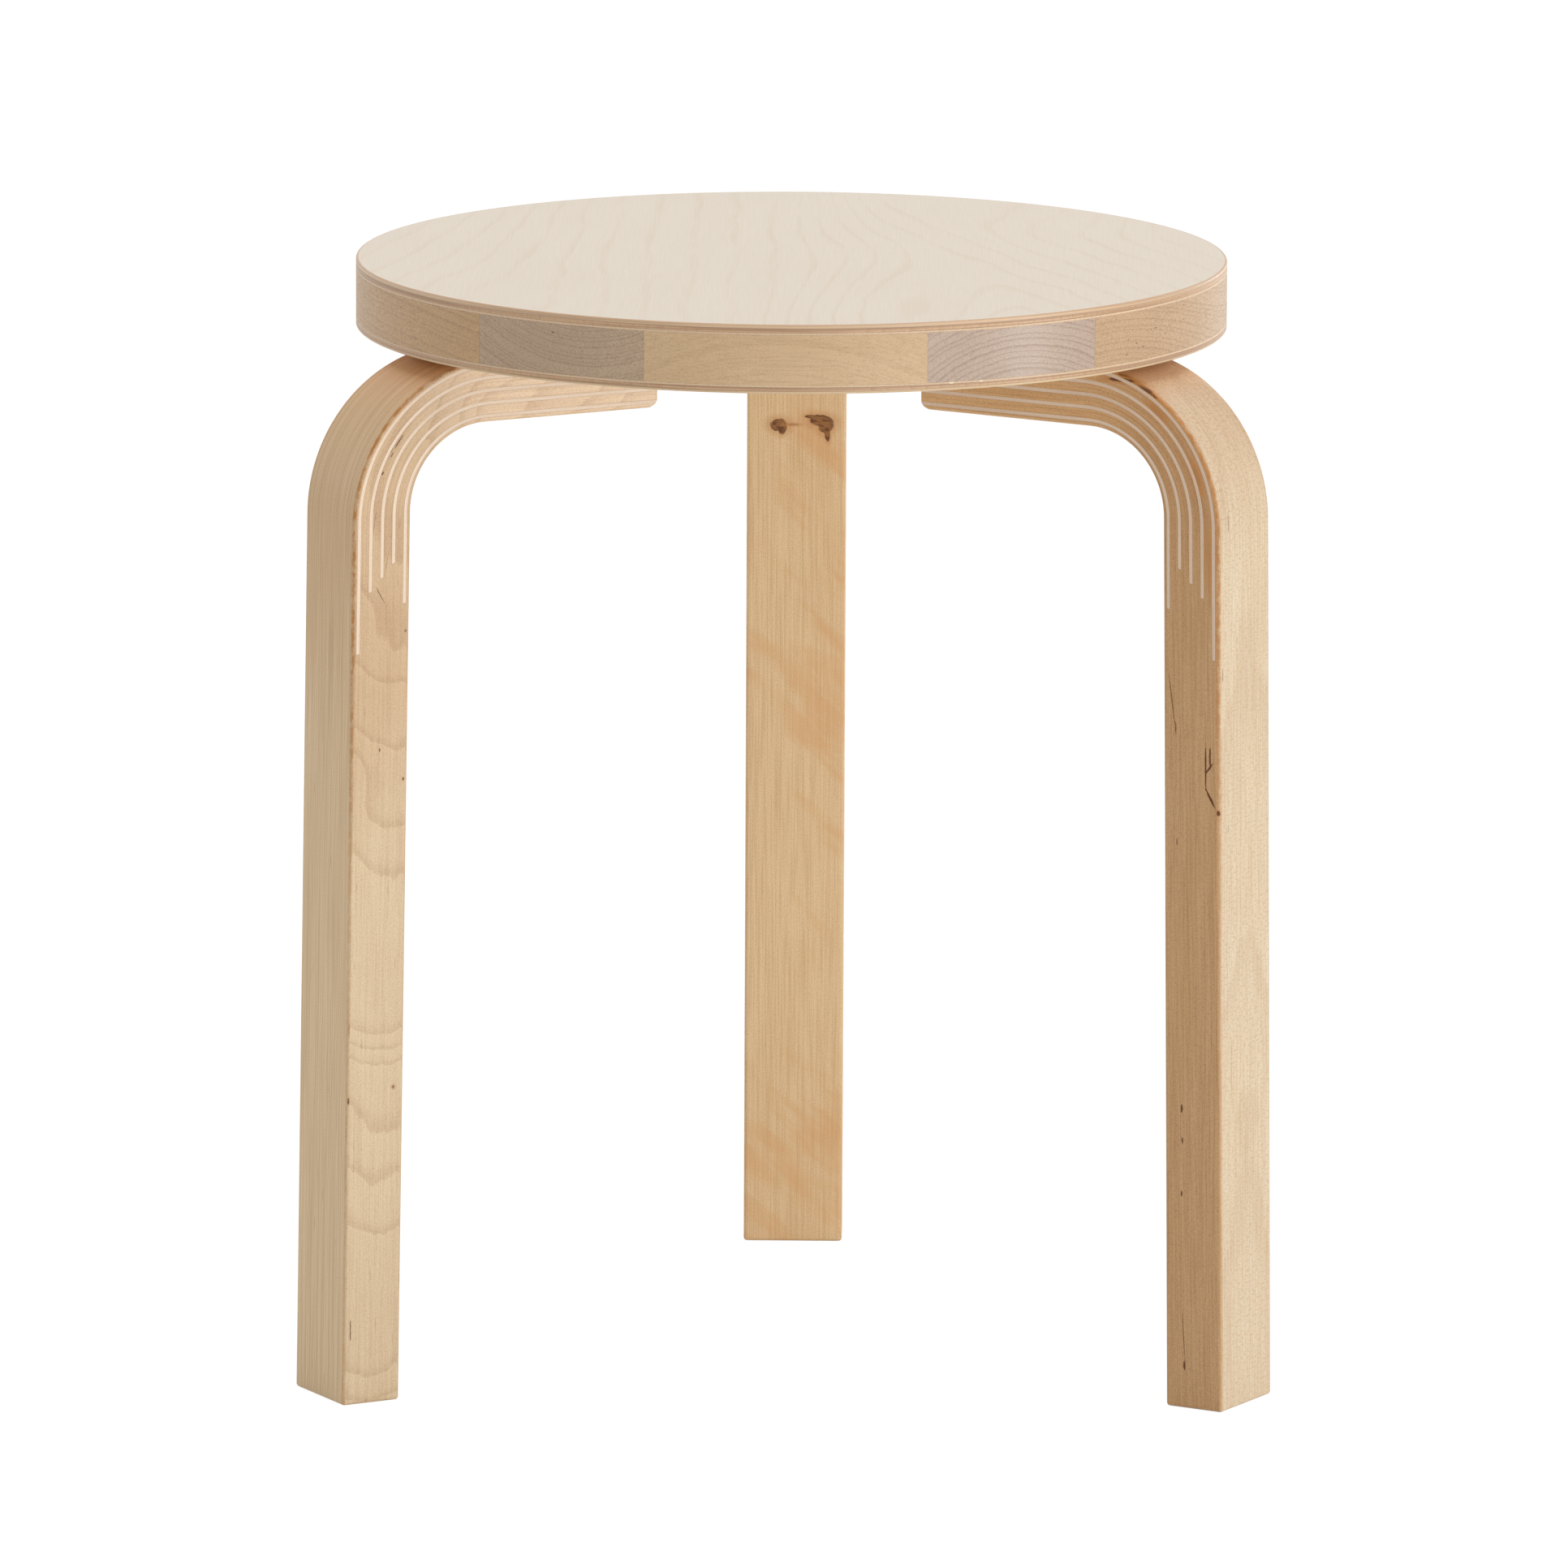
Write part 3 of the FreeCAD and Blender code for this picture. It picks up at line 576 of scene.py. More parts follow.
SITE_INPUTS = [*SITE_SIZES, "Turn", "Level"]

sites, sites_in, sites_out = fresh_tree("screw_sites", "GeometryNodeTree", SITE_INPUTS,
                                        [("Points", "Geometry")])
number = put(sites, "GeometryNodeInputIndex").outputs[0]
is_single = calc("GREATER_THAN", number, 1.5)
in_pair = minus(1.0, is_single)
from_axis = total((sites_in["Pair Radius"], in_pair), (sites_in["Single Radius"], is_single))
sideways = times(minus(number, 0.5), sites_in["Pair Spacing"])
site = vector_of(from_axis, times(sideways, in_pair), sites_in["Level"])
site = put(sites, "ShaderNodeVectorRotate", {"Vector": site, "Angle": sites_in["Turn"]},
           rotation_type="Z_AXIS")
dots = put(sites, "GeometryNodePoints", {"Count": 3, "Position": site.outputs[0], "Radius": 0.001})
feed(sites_out["Points"], dots.outputs[0])

sunk, sunk_in, sunk_out = fresh_tree(
    "countersunk_form", "GeometryNodeTree",
    ["Head Diameter", "Head Land", "Shank Diameter", "Length", "Point Length", "Thread Depth",
     ("Thread Pitch", "Float", 0.001), ("Thread Rows", "Int", 1), ("Segments", "Int", 32)],
    [("Mesh", "Geometry")])
sunk_last = plus(sunk_in["Thread Rows"], 4.0)
sunk_grid, sunk_row, sunk_angle = spun_grid(sunk, plus(sunk_last, 1.0), sunk_last,
                                            plus(sunk_in["Segments"], 1.0))
overhang = times(minus(sunk_in["Head Diameter"], sunk_in["Shank Diameter"]), 0.5)
shank_length = minus(minus(sunk_in["Length"], sunk_in["Point Length"]),
                     plus(overhang, sunk_in["Head Land"]))
row_step = calc("DIVIDE", shank_length, sunk_in["Thread Rows"])
thread_row = calc("MAXIMUM", minus(sunk_row, 3.0), 0.0)
thread_row = calc("MINIMUM", thread_row, sunk_in["Thread Rows"])
at_point = calc("GREATER_THAN", sunk_row, minus(sunk_last, 0.5))
sunk_height = total((sunk_in["Head Land"], calc("GREATER_THAN", sunk_row, 1.5)),
                    (overhang, calc("GREATER_THAN", sunk_row, 2.5)), (row_step, thread_row),
                    (sunk_in["Point Length"], at_point))
risen = calc("DIVIDE", sunk_height, sunk_in["Thread Pitch"])
winding = calc("FRACT", minus(risen, calc("DIVIDE", sunk_angle, 2 * math.pi)))
off_crest = minus(times(winding, 2.0), 1.0)
crest = minus(1.0, calc("ABSOLUTE", off_crest))
on_thread = times(calc("GREATER_THAN", sunk_row, 3.5), calc("LESS_THAN", sunk_row, minus(sunk_last, 1.5)))
sunk_radius = total((sunk_in["Shank Diameter"], 0.5),
                    (overhang, calc("LESS_THAN", sunk_row, 2.5)),
                    (sunk_in["Thread Depth"], times(crest, on_thread)))
sunk_radius = times(sunk_radius, between_poles(sunk_row, sunk_last))
feed(sunk_out["Mesh"], roll(sunk, sunk_grid, sunk_radius, sunk_height, sunk_angle))


def placed_sites(tree, inputs):
    """The three screw sites of one arm, from a tree's own inputs."""
    node = put(tree, "GeometryNodeGroup", node_tree=sites)
    for label in SITE_INPUTS:
        feed(node.inputs[label], inputs[label])
    return node.outputs[0]


def keep_timber(tree, geometry, place):
    """Keeps each point's place in the flat timber as an attribute."""
    return put(tree, "GeometryNodeStoreNamedAttribute", {0: geometry, "Name": "timber", "Value": place},
               data_type="FLOAT_VECTOR", domain="POINT").outputs[0]


drilled, drilled_in, drilled_out = piece_tree(
    "drilled_for_screws", *SITE_INPUTS, "Sink Diameter", "Sink Land", "Drill Diameter", "Drill Length")
cutter = put(drilled, "GeometryNodeGroup", node_tree=sunk)
for label, source in (("Head Diameter", "Sink Diameter"), ("Head Land", "Sink Land"),
                      ("Shank Diameter", "Drill Diameter"), ("Length", "Drill Length")):
    feed(cutter.inputs[label], drilled_in[source])
cutters = put(drilled, "GeometryNodeInstanceOnPoints", {"Points": placed_sites(drilled, drilled_in),
                                                        "Instance": cutter.outputs[0]})
cutters = put(drilled, "GeometryNodeRealizeInstances", {0: cutters.outputs[0]})
bored = put(drilled, "GeometryNodeMeshBoolean", {0: drilled_in["Geometry"], 1: cutters.outputs[0]},
            operation="DIFFERENCE", solver="EXACT")
known = put(drilled, "GeometryNodeInputNamedAttribute", {"Name": "timber"}, data_type="FLOAT_VECTOR")
nearest = put(drilled, "GeometryNodeSampleNearestSurface",
              {"Mesh": drilled_in["Geometry"], "Value": open_socket(known.outputs, "Attribute")},
              data_type="FLOAT_VECTOR")
kept_place = keep_timber(drilled, bored.outputs[0], open_socket(nearest.outputs, "Value"))
ended(drilled, kept_place, drilled_in, drilled_out)


def drill(piece, turn, material, level, sink, land, diameter, length):
    """Bores one arm's three screw holes through a piece."""
    set_sizes(piece, drilled, {**SITE_SIZES, "Turn": math.radians(turn), "Level": level,
                               "Sink Diameter": sink, "Sink Land": land, "Drill Diameter": diameter,
                               "Drill Length": length, "Material": material})


for node, finish, *_ in PLIES:
    ply = plies[node]
    if node.startswith("bottom"):
        for turn in LEG_TURNS.values():
            drill(ply, turn, bpy.data.materials[f"{node}_birch"], SEAT_UNDERSIDE - MM, PILOT_DIAMETER, MM,
                  PILOT_DIAMETER, PILOT_LENGTH)
    settle(ply)
    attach(ply, "root")
    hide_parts(node)

# Each leg is one birch blank, sawn into six lamellae at its upper end and bent over into an arm.
# The blank is laid out flat, across by depth by length, with its kerfs open, and a tree bends it.
LEG_WIDTH = 40.5 * MM
LEG_THICKNESS = 25.2 * MM
LEG_SPLAY = math.radians(0.84)
FOOT_RADIUS = 211.4 * MM
ARM_END_RADIUS = 71.0 * MM
ARM_END_ROUND = 4.0 * MM
OUTER_BEND = 63.0 * MM
INNER_BEND = 33.5 * MM
EDGE_ROUND = 1.5 * MM
KERF_WIDTH = 1.4 * MM
FACE_LAMELLA = 1.8 * MM
STRIP_TAILS = [51.4 * MM, 27.8 * MM, 23.2 * MM, 18.6 * MM, 35.4 * MM]
STRIP_COUNT = len(STRIP_TAILS)
STRIP_PITCH = (LEG_THICKNESS - 2 * FACE_LAMELLA - KERF_WIDTH) / (STRIP_COUNT - 1)
HALF_LAMELLA = (STRIP_PITCH - KERF_WIDTH) / 2
SEAM = 1e-6

mid_radius = (OUTER_BEND + INNER_BEND) / 2
mid_reach = LEG_THICKNESS / 2 + mid_radius
mid_height = SEAT_UNDERSIDE - mid_reach
mid_centre = FOOT_RADIUS - math.cos(LEG_SPLAY) * mid_reach - math.tan(LEG_SPLAY) * (
    mid_height + math.sin(LEG_SPLAY) * mid_reach)
UPRIGHT = (mid_height + mid_radius * math.sin(LEG_SPLAY)) / math.cos(LEG_SPLAY)
BEND_LENGTH = mid_radius * (QUARTER - LEG_SPLAY)
ARM_LENGTH = mid_centre - ARM_END_RADIUS
LEG_LENGTH = UPRIGHT + BEND_LENGTH + ARM_LENGTH
BEND_SIZES = {"Seat Underside": SEAT_UNDERSIDE, "Foot Radius": FOOT_RADIUS, "Splay": LEG_SPLAY,
              "Thickness": LEG_THICKNESS, "Outer Bend": OUTER_BEND, "Inner Bend": INNER_BEND,
              "Arm End Radius": ARM_END_RADIUS, "Upright": UPRIGHT, "Bend Length": BEND_LENGTH,
              "Arm Length": ARM_LENGTH}

bend, bend_in, bend_out = piece_tree("kerf_bend", *BEND_SIZES, "Turn")
flat_place = put(bend, "GeometryNodeInputPosition").outputs[0]
noted = keep_timber(bend, bend_in["Geometry"], flat_place)
flat = parts_of(flat_place)
depth, along = flat["Y"], flat["Z"]
cos_splay, sin_splay, tan_splay = (calc(operation, bend_in["Splay"])
                                   for operation in ("COSINE", "SINE", "TANGENT"))
tighter = calc("DIVIDE", minus(bend_in["Outer Bend"], bend_in["Inner Bend"]), bend_in["Thickness"])
bend_radius = minus(bend_in["Outer Bend"], times(tighter, depth))
behind = plus(depth, bend_radius)
centre_height = minus(bend_in["Seat Underside"], behind)
from_foot = plus(times(cos_splay, behind), times(tan_splay, plus(centre_height, times(sin_splay, behind))))
centre_out = minus(bend_in["Foot Radius"], from_foot)
foot_out = minus(bend_in["Foot Radius"], times(depth, plus(cos_splay, times(tan_splay, sin_splay))))
upright_share = calc("DIVIDE", along, bend_in["Upright"], clamp=True)
past_upright = minus(along, bend_in["Upright"])
bend_share = calc("DIVIDE", past_upright, bend_in["Bend Length"], clamp=True)
past_bend = minus(past_upright, bend_in["Bend Length"])
arm_share = calc("DIVIDE", past_bend, bend_in["Arm Length"], clamp=True)
bent_by = plus(bend_in["Splay"], times(bend_share, minus(QUARTER, bend_in["Splay"])))
arc_out = total((centre_out, 1.0), (bend_radius, calc("COSINE", bent_by)))
arc_height = total((centre_height, 1.0), (bend_radius, calc("SINE", bent_by)))
bent_out = total((foot_out, 1.0), (minus(arc_out, foot_out), upright_share),
                 (minus(bend_in["Arm End Radius"], centre_out), arm_share))
bent_place = vector_of(bent_out, flat["X"], times(arc_height, upright_share))
about_axis = put(bend, "ShaderNodeVectorRotate", {"Vector": bent_place, "Angle": bend_in["Turn"]},
                 rotation_type="Z_AXIS")
bent = put(bend, "GeometryNodeSetPosition", {0: noted, "Position": about_axis.outputs[0]})
ended(bend, bent.outputs[0], bend_in, bend_out)


def kerf_span(number):
    """The depths between which a strip lies, counted from 0 at the outer face."""
    near = FACE_LAMELLA + number * STRIP_PITCH
    return near, near + KERF_WIDTH


def kerf_foot(number):
    return UPRIGHT - STRIP_TAILS[number]


def rounding(distance):
    """How far an edge rounding draws the side face in, at a distance from the edge."""
    inside = EDGE_ROUND - min(max(distance, 0.0), EDGE_ROUND)
    return EDGE_ROUND - math.sqrt(EDGE_ROUND ** 2 - inside ** 2)


def spaced(values):
    """The values in order, without any that repeat."""
    kept = []
    for value in sorted(values):
        if not kept or value - kept[-1] > 20 * SEAM:
            kept.append(value)
    return kept


def quarter_steps(radius):
    return [radius * (1 - math.cos(math.radians(angle))) for angle in (0, 15, 30, 45, 60, 75, 90)]


edge_steps = quarter_steps(EDGE_ROUND)
stations = edge_steps + [UPRIGHT * step / 18 for step in range(1, 19)]
stations += [UPRIGHT + BEND_LENGTH * step / 40 for step in range(1, 41)]
stations += [LEG_LENGTH - ARM_LENGTH + (ARM_LENGTH - ARM_END_ROUND) * step / 6 for step in range(1, 7)]
stations += [LEG_LENGTH - step for step in quarter_steps(ARM_END_ROUND) + edge_steps]
columns = edge_steps + [LEG_THICKNESS - step for step in edge_steps]
for number in range(STRIP_COUNT):
    near, far = kerf_span(number)
    stations += [kerf_foot(number) - HALF_LAMELLA, kerf_foot(number), kerf_foot(number) + KERF_WIDTH / 2]
    columns += [near, (near + far) / 2, far, far + HALF_LAMELLA]
stations = spaced(stations)
columns = spaced(columns)


def depth_limits(along):
    """The outline's depths at a station: it closes in at the foot's and the arm end's roundings."""
    near, far = 0.0, LEG_THICKNESS
    if along < EDGE_ROUND:
        near = rounding(along)
        far = LEG_THICKNESS - near
    to_end = LEG_LENGTH - along
    if to_end < ARM_END_ROUND:
        inside = ARM_END_ROUND - to_end
        far = LEG_THICKNESS - ARM_END_ROUND + math.sqrt(max(ARM_END_ROUND ** 2 - inside ** 2, 0.0))
    return near, far


def glue_nearness(along, depth):
    """One on a glued face of a kerf, falling to none at half a lamella away."""
    nearness = 0.0
    for number in range(STRIP_COUNT):
        near, far = kerf_span(number)
        below = kerf_foot(number) - along
        if below < -SEAM:
            gap = min(abs(depth - near), abs(depth - far))
        else:
            gap = math.hypot(max(near - depth, depth - far, 0.0), below)
        nearness = max(nearness, 1 - gap / HALF_LAMELLA)
    return nearness


def in_grid(i, j):
    return 0 <= i < len(stations) - 1 and 0 <= j < len(columns) - 1


def in_kerf(i, j, number):
    near, far = kerf_span(number)
    return (in_grid(i, j) and stations[i] > kerf_foot(number) - 20 * SEAM
            and near < (columns[j] + columns[j + 1]) / 2 < far)


def in_leg(i, j):
    return in_grid(i, j) and not any(in_kerf(i, j, number) for number in range(STRIP_COUNT))


def flat_blank(name, filled):
    """A closed mesh over the filled cells of the flat blank, with its edges rounded."""
    skin = bmesh.new()
    glue = skin.verts.layers.float.new("glue")
    corner = {}

    def vertex(i, j, side):
        if (i, j, side) not in corner:
            along = stations[i]
            near, far = depth_limits(along)
            depth = min(max(columns[j], near), far)
            edge = min(depth - near, far - depth, along, LEG_LENGTH - along)
            point = skin.verts.new((side * (LEG_WIDTH / 2 - rounding(edge)), depth, along))
            point[glue] = glue_nearness(along, depth)
            corner[i, j, side] = point
        return corner[i, j, side]

    for i in range(len(stations) - 1):
        for j in range(len(columns) - 1):
            if not filled(i, j):
                continue
            for side in (-1, 1):
                skin.faces.new([vertex(i, j, side), vertex(i + 1, j, side),
                                vertex(i + 1, j + 1, side), vertex(i, j + 1, side)])
            walls = [((i, j), (i + 1, j), (i, j - 1)), ((i, j + 1), (i + 1, j + 1), (i, j + 1)),
                     ((i, j), (i, j + 1), (i - 1, j)), ((i + 1, j), (i + 1, j + 1), (i + 1, j))]
            for start, end, beside in walls:
                if not filled(*beside):
                    skin.faces.new([vertex(*start, -1), vertex(*end, -1),
                                    vertex(*end, 1), vertex(*start, 1)])
    bmesh.ops.remove_doubles(skin, verts=skin.verts, dist=10 * SEAM)
    bmesh.ops.dissolve_degenerate(skin, edges=skin.edges, dist=SEAM)
    bmesh.ops.recalc_face_normals(skin, faces=skin.faces)
    mesh = bpy.data.meshes.new(name)
    skin.to_mesh(mesh)
    skin.free()
    return stand(name, mesh)


def bend_and_drill(blank, turn, material):
    """Bends a flat piece into its leg's place, and bores it where the screws pass."""
    set_sizes(blank, bend, {**BEND_SIZES, "Turn": math.radians(turn), "Material": material})
    drill(blank, turn, material, ARM_UNDERSIDE - MM, SINK_DIAMETER, SINK_LAND, DRILL_DIAMETER, DRILL_LENGTH)
    settle(blank)


def timber_place(offset):
    """The place kept from the flat blank. The offset gives each blank wood of its own."""
    def place_of(tree):
        flat = put(tree, "ShaderNodeAttribute", attribute_name="timber").outputs["Vector"]
        return vector_calc("ADD", flat, offset)
    return place_of


# A mark is a knot, a pith fleck or a check: a ragged patch of darker wood at one place in the timber.
mark, mark_in, mark_out = fresh_tree(
    "wood_mark", "ShaderNodeTree",
    [("Place", "Vector"), ("Centre", "Vector"), ("Half Size", "Vector"), ("Turn", "Vector"), "Ragged"],
    ["Mask", "Halo", "Away"])
from_centre = vector_calc("SUBTRACT", mark_in["Place"], mark_in["Centre"])
turned = put(mark, "ShaderNodeVectorRotate", {"Vector": from_centre, "Rotation": mark_in["Turn"]},
             rotation_type="EULER_XYZ")
away = vector_calc("LENGTH", vector_calc("DIVIDE", turned.outputs[0], mark_in["Half Size"]))
away = plus(away, mark_in["Ragged"])
feed(mark_out["Mask"], eased(away, 0.7, 1.0, 1.0, 0.0))
feed(mark_out["Halo"], eased(away, 0.9, 2.4, 1.0, 0.0))
feed(mark_out["Away"], away)


def marked(tree, flat, place, ragged):
    """A mark's outputs, from its centre, its half size and its turn."""
    centre, half_size, turn = place
    spot = put(tree, "ShaderNodeGroup", node_tree=mark)
    for label, value in (("Place", flat), ("Centre", Vector(centre) * MM),
                         ("Half Size", Vector(half_size) * MM),
                         ("Turn", [math.radians(angle) for angle in turn]), ("Ragged", ragged)):
        feed(spot.inputs[label], value)
    return spot.outputs


def knotted(tree, flat, lobes, ragged, colour):
    """A knot made of a few joined lobes: an orange halo, a brown heart with dark streaks, and a dark rim."""
    away = None
    for lobe in lobes:
        lobe_away = marked(tree, flat, lobe, ragged)["Away"]
        away = lobe_away if away is None else calc("SMOOTH_MIN", away, lobe_away, 0.3)
    body = eased(away, 0.78, 1.0, 1.0, 0.0)
    rim = times(eased(away, 0.62, 0.88), eased(away, 0.94, 1.08, 1.0, 0.0))
    rim = times(rim, eased(noise(flat, (190.0, 190.0, 190.0), 1.0), 0.36, 0.56, 0.1, 0.9))
    streaks = eased(noise(flat, (300.0, 300.0, 900.0), 3.0, 0.65), 0.46, 0.58, 0.0, 0.92)
    colour = mixed(eased(away, 0.9, 2.3, 0.5, 0.0), colour, HALO_BROWN)
    colour = mixed(times(body, 0.95), colour, KNOT_BROWN)
    return mixed(calc("MAXIMUM", rim, times(body, streaks)), colour, MARK_BROWN)


MARK_BROWN = (0.11, 0.03, 0.002)
KNOT_BROWN = (0.25, 0.10, 0.022)
HALO_BROWN = (0.50, 0.215, 0.06)
EDGE_BROWN = (0.44, 0.235, 0.10)
EDGE_ORANGE = (0.39, 0.155, 0.03)
JOINT_BROWN = (0.36, 0.19, 0.09)
CURL_BROWN = (0.63, 0.325, 0.12)
CURL_SLANT = math.radians(44)
RIPPLE_BROWN = (0.47, 0.295, 0.15)
STRIPE_BROWN = (0.44, 0.27, 0.13)
# Tints of painted light and shade on the legs near the seat: warm painted shade on the sides at the bend,
# warm painted shade and bounce light on the outer face under the seat's edge, and, last in each list,
# painted light on the arms' sides, which lie in the seat's shade.
BEND_SIDE_SHADE = (0.96, 0.88, 0.80)
UNDER_SEAT_SHADE = (1.33, 0.95, 0.70)
LEFT_PAINTED_LIGHT_TINTS = ((0.24, 0.36, False, (0.90, 0.83, 0.77)), (0.385, 0.42, False, UNDER_SEAT_SHADE),
                  (0.20, 0.30, True, (0.90, 0.82, 0.76)), (0.38, 0.44, True, (1.38, 1.50, 1.73)))
RIGHT_PAINTED_LIGHT_TINTS = ((0.34, 0.39, False, (0.86, 0.79, 0.74)), (0.392, 0.418, False, UNDER_SEAT_SHADE),
                   (0.31, 0.38, True, BEND_SIDE_SHADE), (0.38, 0.44, True, (1.25, 1.33, 1.42)))


def leg_extras(marks, knots=(), painted_side_tint=None, curl=0.0, ripple=0.0, pinstripe=0.0, painted_light_tints=()):
    """What a leg shows beside its grain: a slanting curl, fine stripes on its two faces, painted light and
    shade on one side face, painted shade and warm bounce light towards the bend and under the seat, painted
    light on the arms' sides, browner edges, the glue lines of its kerfs, and its own knots, flecks and
    checks. A tint of painted light is a range along the leg, whether it lies on the sides, and its colour."""
    def extra(tree, place, colour):
        flat = put(tree, "ShaderNodeAttribute", attribute_name="timber").outputs["Vector"]
        part = parts_of(flat)
        off_middle = calc("ABSOLUTE", part["X"])
        on_side = eased(off_middle, LEG_WIDTH / 2 - EDGE_ROUND, LEG_WIDTH / 2 - 0.2 * MM)
        on_face = minus(1.0, on_side)
        if pinstripe:
            stripes = eased(noise(place, (1150.0, 0.0, 9.0), 2.0, 0.6), 0.42, 0.66, 0.0, pinstripe)
            colour = mixed(times(stripes, on_face), colour, STRIPE_BROWN)
        if curl:
            slant = put(tree, "ShaderNodeVectorRotate", {"Vector": place, "Angle": CURL_SLANT},
                        rotation_type="Y_AXIS")
            shimmer = noise(slant.outputs[0], (22.0, 22.0, 85.0), 3.0, 0.55)
            patches = eased(noise(place, (34.0, 34.0, 15.0), 1.0), 0.38, 0.62)
            shimmer = times(eased(shimmer, 0.44, 0.66, 0.0, curl), patches)
            colour = mixed(shimmer, colour, CURL_BROWN)
        # Painted light and shade on one side face: the right leg's side is darkened as painted shade, partly
        # also its wood's own browner tone, and the left leg's lit side gets a slight painted correction.
        if painted_side_tint:
            side, tint = painted_side_tint
            outward = times(part["X"], side)
            painted_side_share = eased(outward, LEG_WIDTH / 2 - EDGE_ROUND, LEG_WIDTH / 2)
            colour = mixed(painted_side_share, colour, tint, "MULTIPLY")
        if ripple:
            scales = eased(noise(place, (430.0, 430.0, 1050.0), 2.0, 0.6), 0.47, 0.66)
            colour = mixed(times(scales, times(on_face, ripple)), colour, RIPPLE_BROWN)
        on_outer = times(on_face, eased(part["Y"], 0.2 * MM, 3 * MM, 1.0, 0.0))
        # Painted light and shade by height along the leg: each tint darkens or lightens the outer face or
        # the sides as light falls near the seat.
        for low, high, at_sides, tint in painted_light_tints:
            risen = times(eased(part["Z"], low, high), on_side if at_sides else on_outer)
            colour = mixed(risen, colour, tint, "MULTIPLY")
        to_side = minus(LEG_WIDTH / 2, off_middle)
        to_face = calc("MINIMUM", part["Y"], minus(LEG_THICKNESS, part["Y"]))
        edge = eased(calc("MAXIMUM", to_side, to_face), 0.3 * MM, 1.3 * MM, 0.28, 0.0)
        colour = mixed(edge, colour, EDGE_BROWN)
        outer_edge = times(eased(to_side, 0.3 * MM, 2.3 * MM, 1.0, 0.0),
                           eased(part["Y"], 0.4 * MM, 1.8 * MM, 1.0, 0.0))
        outer_edge = times(outer_edge, eased(part["Z"], 0.16, 0.36, 0.2, 0.95))
        broken = eased(noise(flat, (420.0, 420.0, 240.0), 3.0, 0.7), 0.40, 0.58, 0.2, 1.0)
        colour = mixed(times(outer_edge, broken), colour, EDGE_ORANGE)
        glue = put(tree, "ShaderNodeAttribute", attribute_name="glue").outputs["Fac"]
        colour = mixed(eased(glue, 0.86, 0.97, 0.0, 0.42), colour, JOINT_BROWN)
        ragged = times(minus(noise(flat, (900.0, 900.0, 420.0), 3.0, 0.6), 0.5), 1.3)
        smoother = times(ragged, 0.35)
        for lobes in knots:
            colour = knotted(tree, flat, lobes, smoother, colour)
        for *spot, strength, halo in marks:
            shown = marked(tree, flat, spot, ragged)
            if halo:
                colour = mixed(times(shown["Halo"], halo), colour, HALO_BROWN)
            colour = mixed(times(shown["Mask"], strength), colour, MARK_BROWN)
        return colour
    return extra


SIDE = LEG_WIDTH / 2 / MM
INNER = LEG_THICKNESS / MM
MARK_DEPTH = 2
KNOT_DEPTH = 4


def side_marks(side, *rows):
    """Marks on a side face. A row is the mark's place inwards and along, its half width and half length in
    millimetres, its lean in degrees, its strength and the strength of its halo."""
    return [((side * SIDE, inward, along), (MARK_DEPTH, wide, long), (lean, 0, 0), strength, halo)
            for inward, along, wide, long, lean, strength, halo in rows]


def face_marks(*rows):
    """Marks on the outer face. A row is the mark's place across and along, its half width and half length
    in millimetres, and its strength."""
    return [((across, 0, along), (wide, MARK_DEPTH, long), (0, 0, 0), strength, 0.0)
            for across, along, wide, long, strength in rows]


def inner_knot(*lobes):
    """A knot on the inner face. A lobe is its place across and along, its half width and half length in
    millimetres, and its lean in degrees."""
    return [((across, INNER, along), (wide, KNOT_DEPTH, long), (0, lean, 0))
            for across, along, wide, long, lean in lobes]


LEFT_MARKS = side_marks(
    1, (7.9, 386, 0.32, 3.4, 0, 0.9, 0.25), (9.2, 383.5, 0.32, 3, 0, 0.9, 0),
    (8.2, 379.5, 0.3, 1.6, 0, 0.9, 0), (9.5, 378, 0.3, 1.2, 0, 0.8, 0), (7.6, 372.6, 0.45, 1, 0, 1, 0.2),
    (8.9, 370.6, 0.4, 0.8, 0, 1, 0), (9, 352, 0.22, 5, 6, 0.5, 0), (14.6, 335, 0.2, 4, 10, 0.45, 0),
    (12, 323, 0.28, 4.4, -28, 0.7, 0), (23.2, 248, 0.7, 0.9, 0, 0.8, 0.15),
    (12.6, 261.5, 0.45, 1, 0, 0.8, 0), (23.4, 306.5, 0.6, 0.8, 0, 0.7, 0),
    (20.7, 126, 0.8, 0.8, 0, 0.6, 0.3), (3, 30, 0.3, 4.5, 0, 0.9, 0), (0.9, 123, 0.4, 1.4, 0, 0.8, 0))
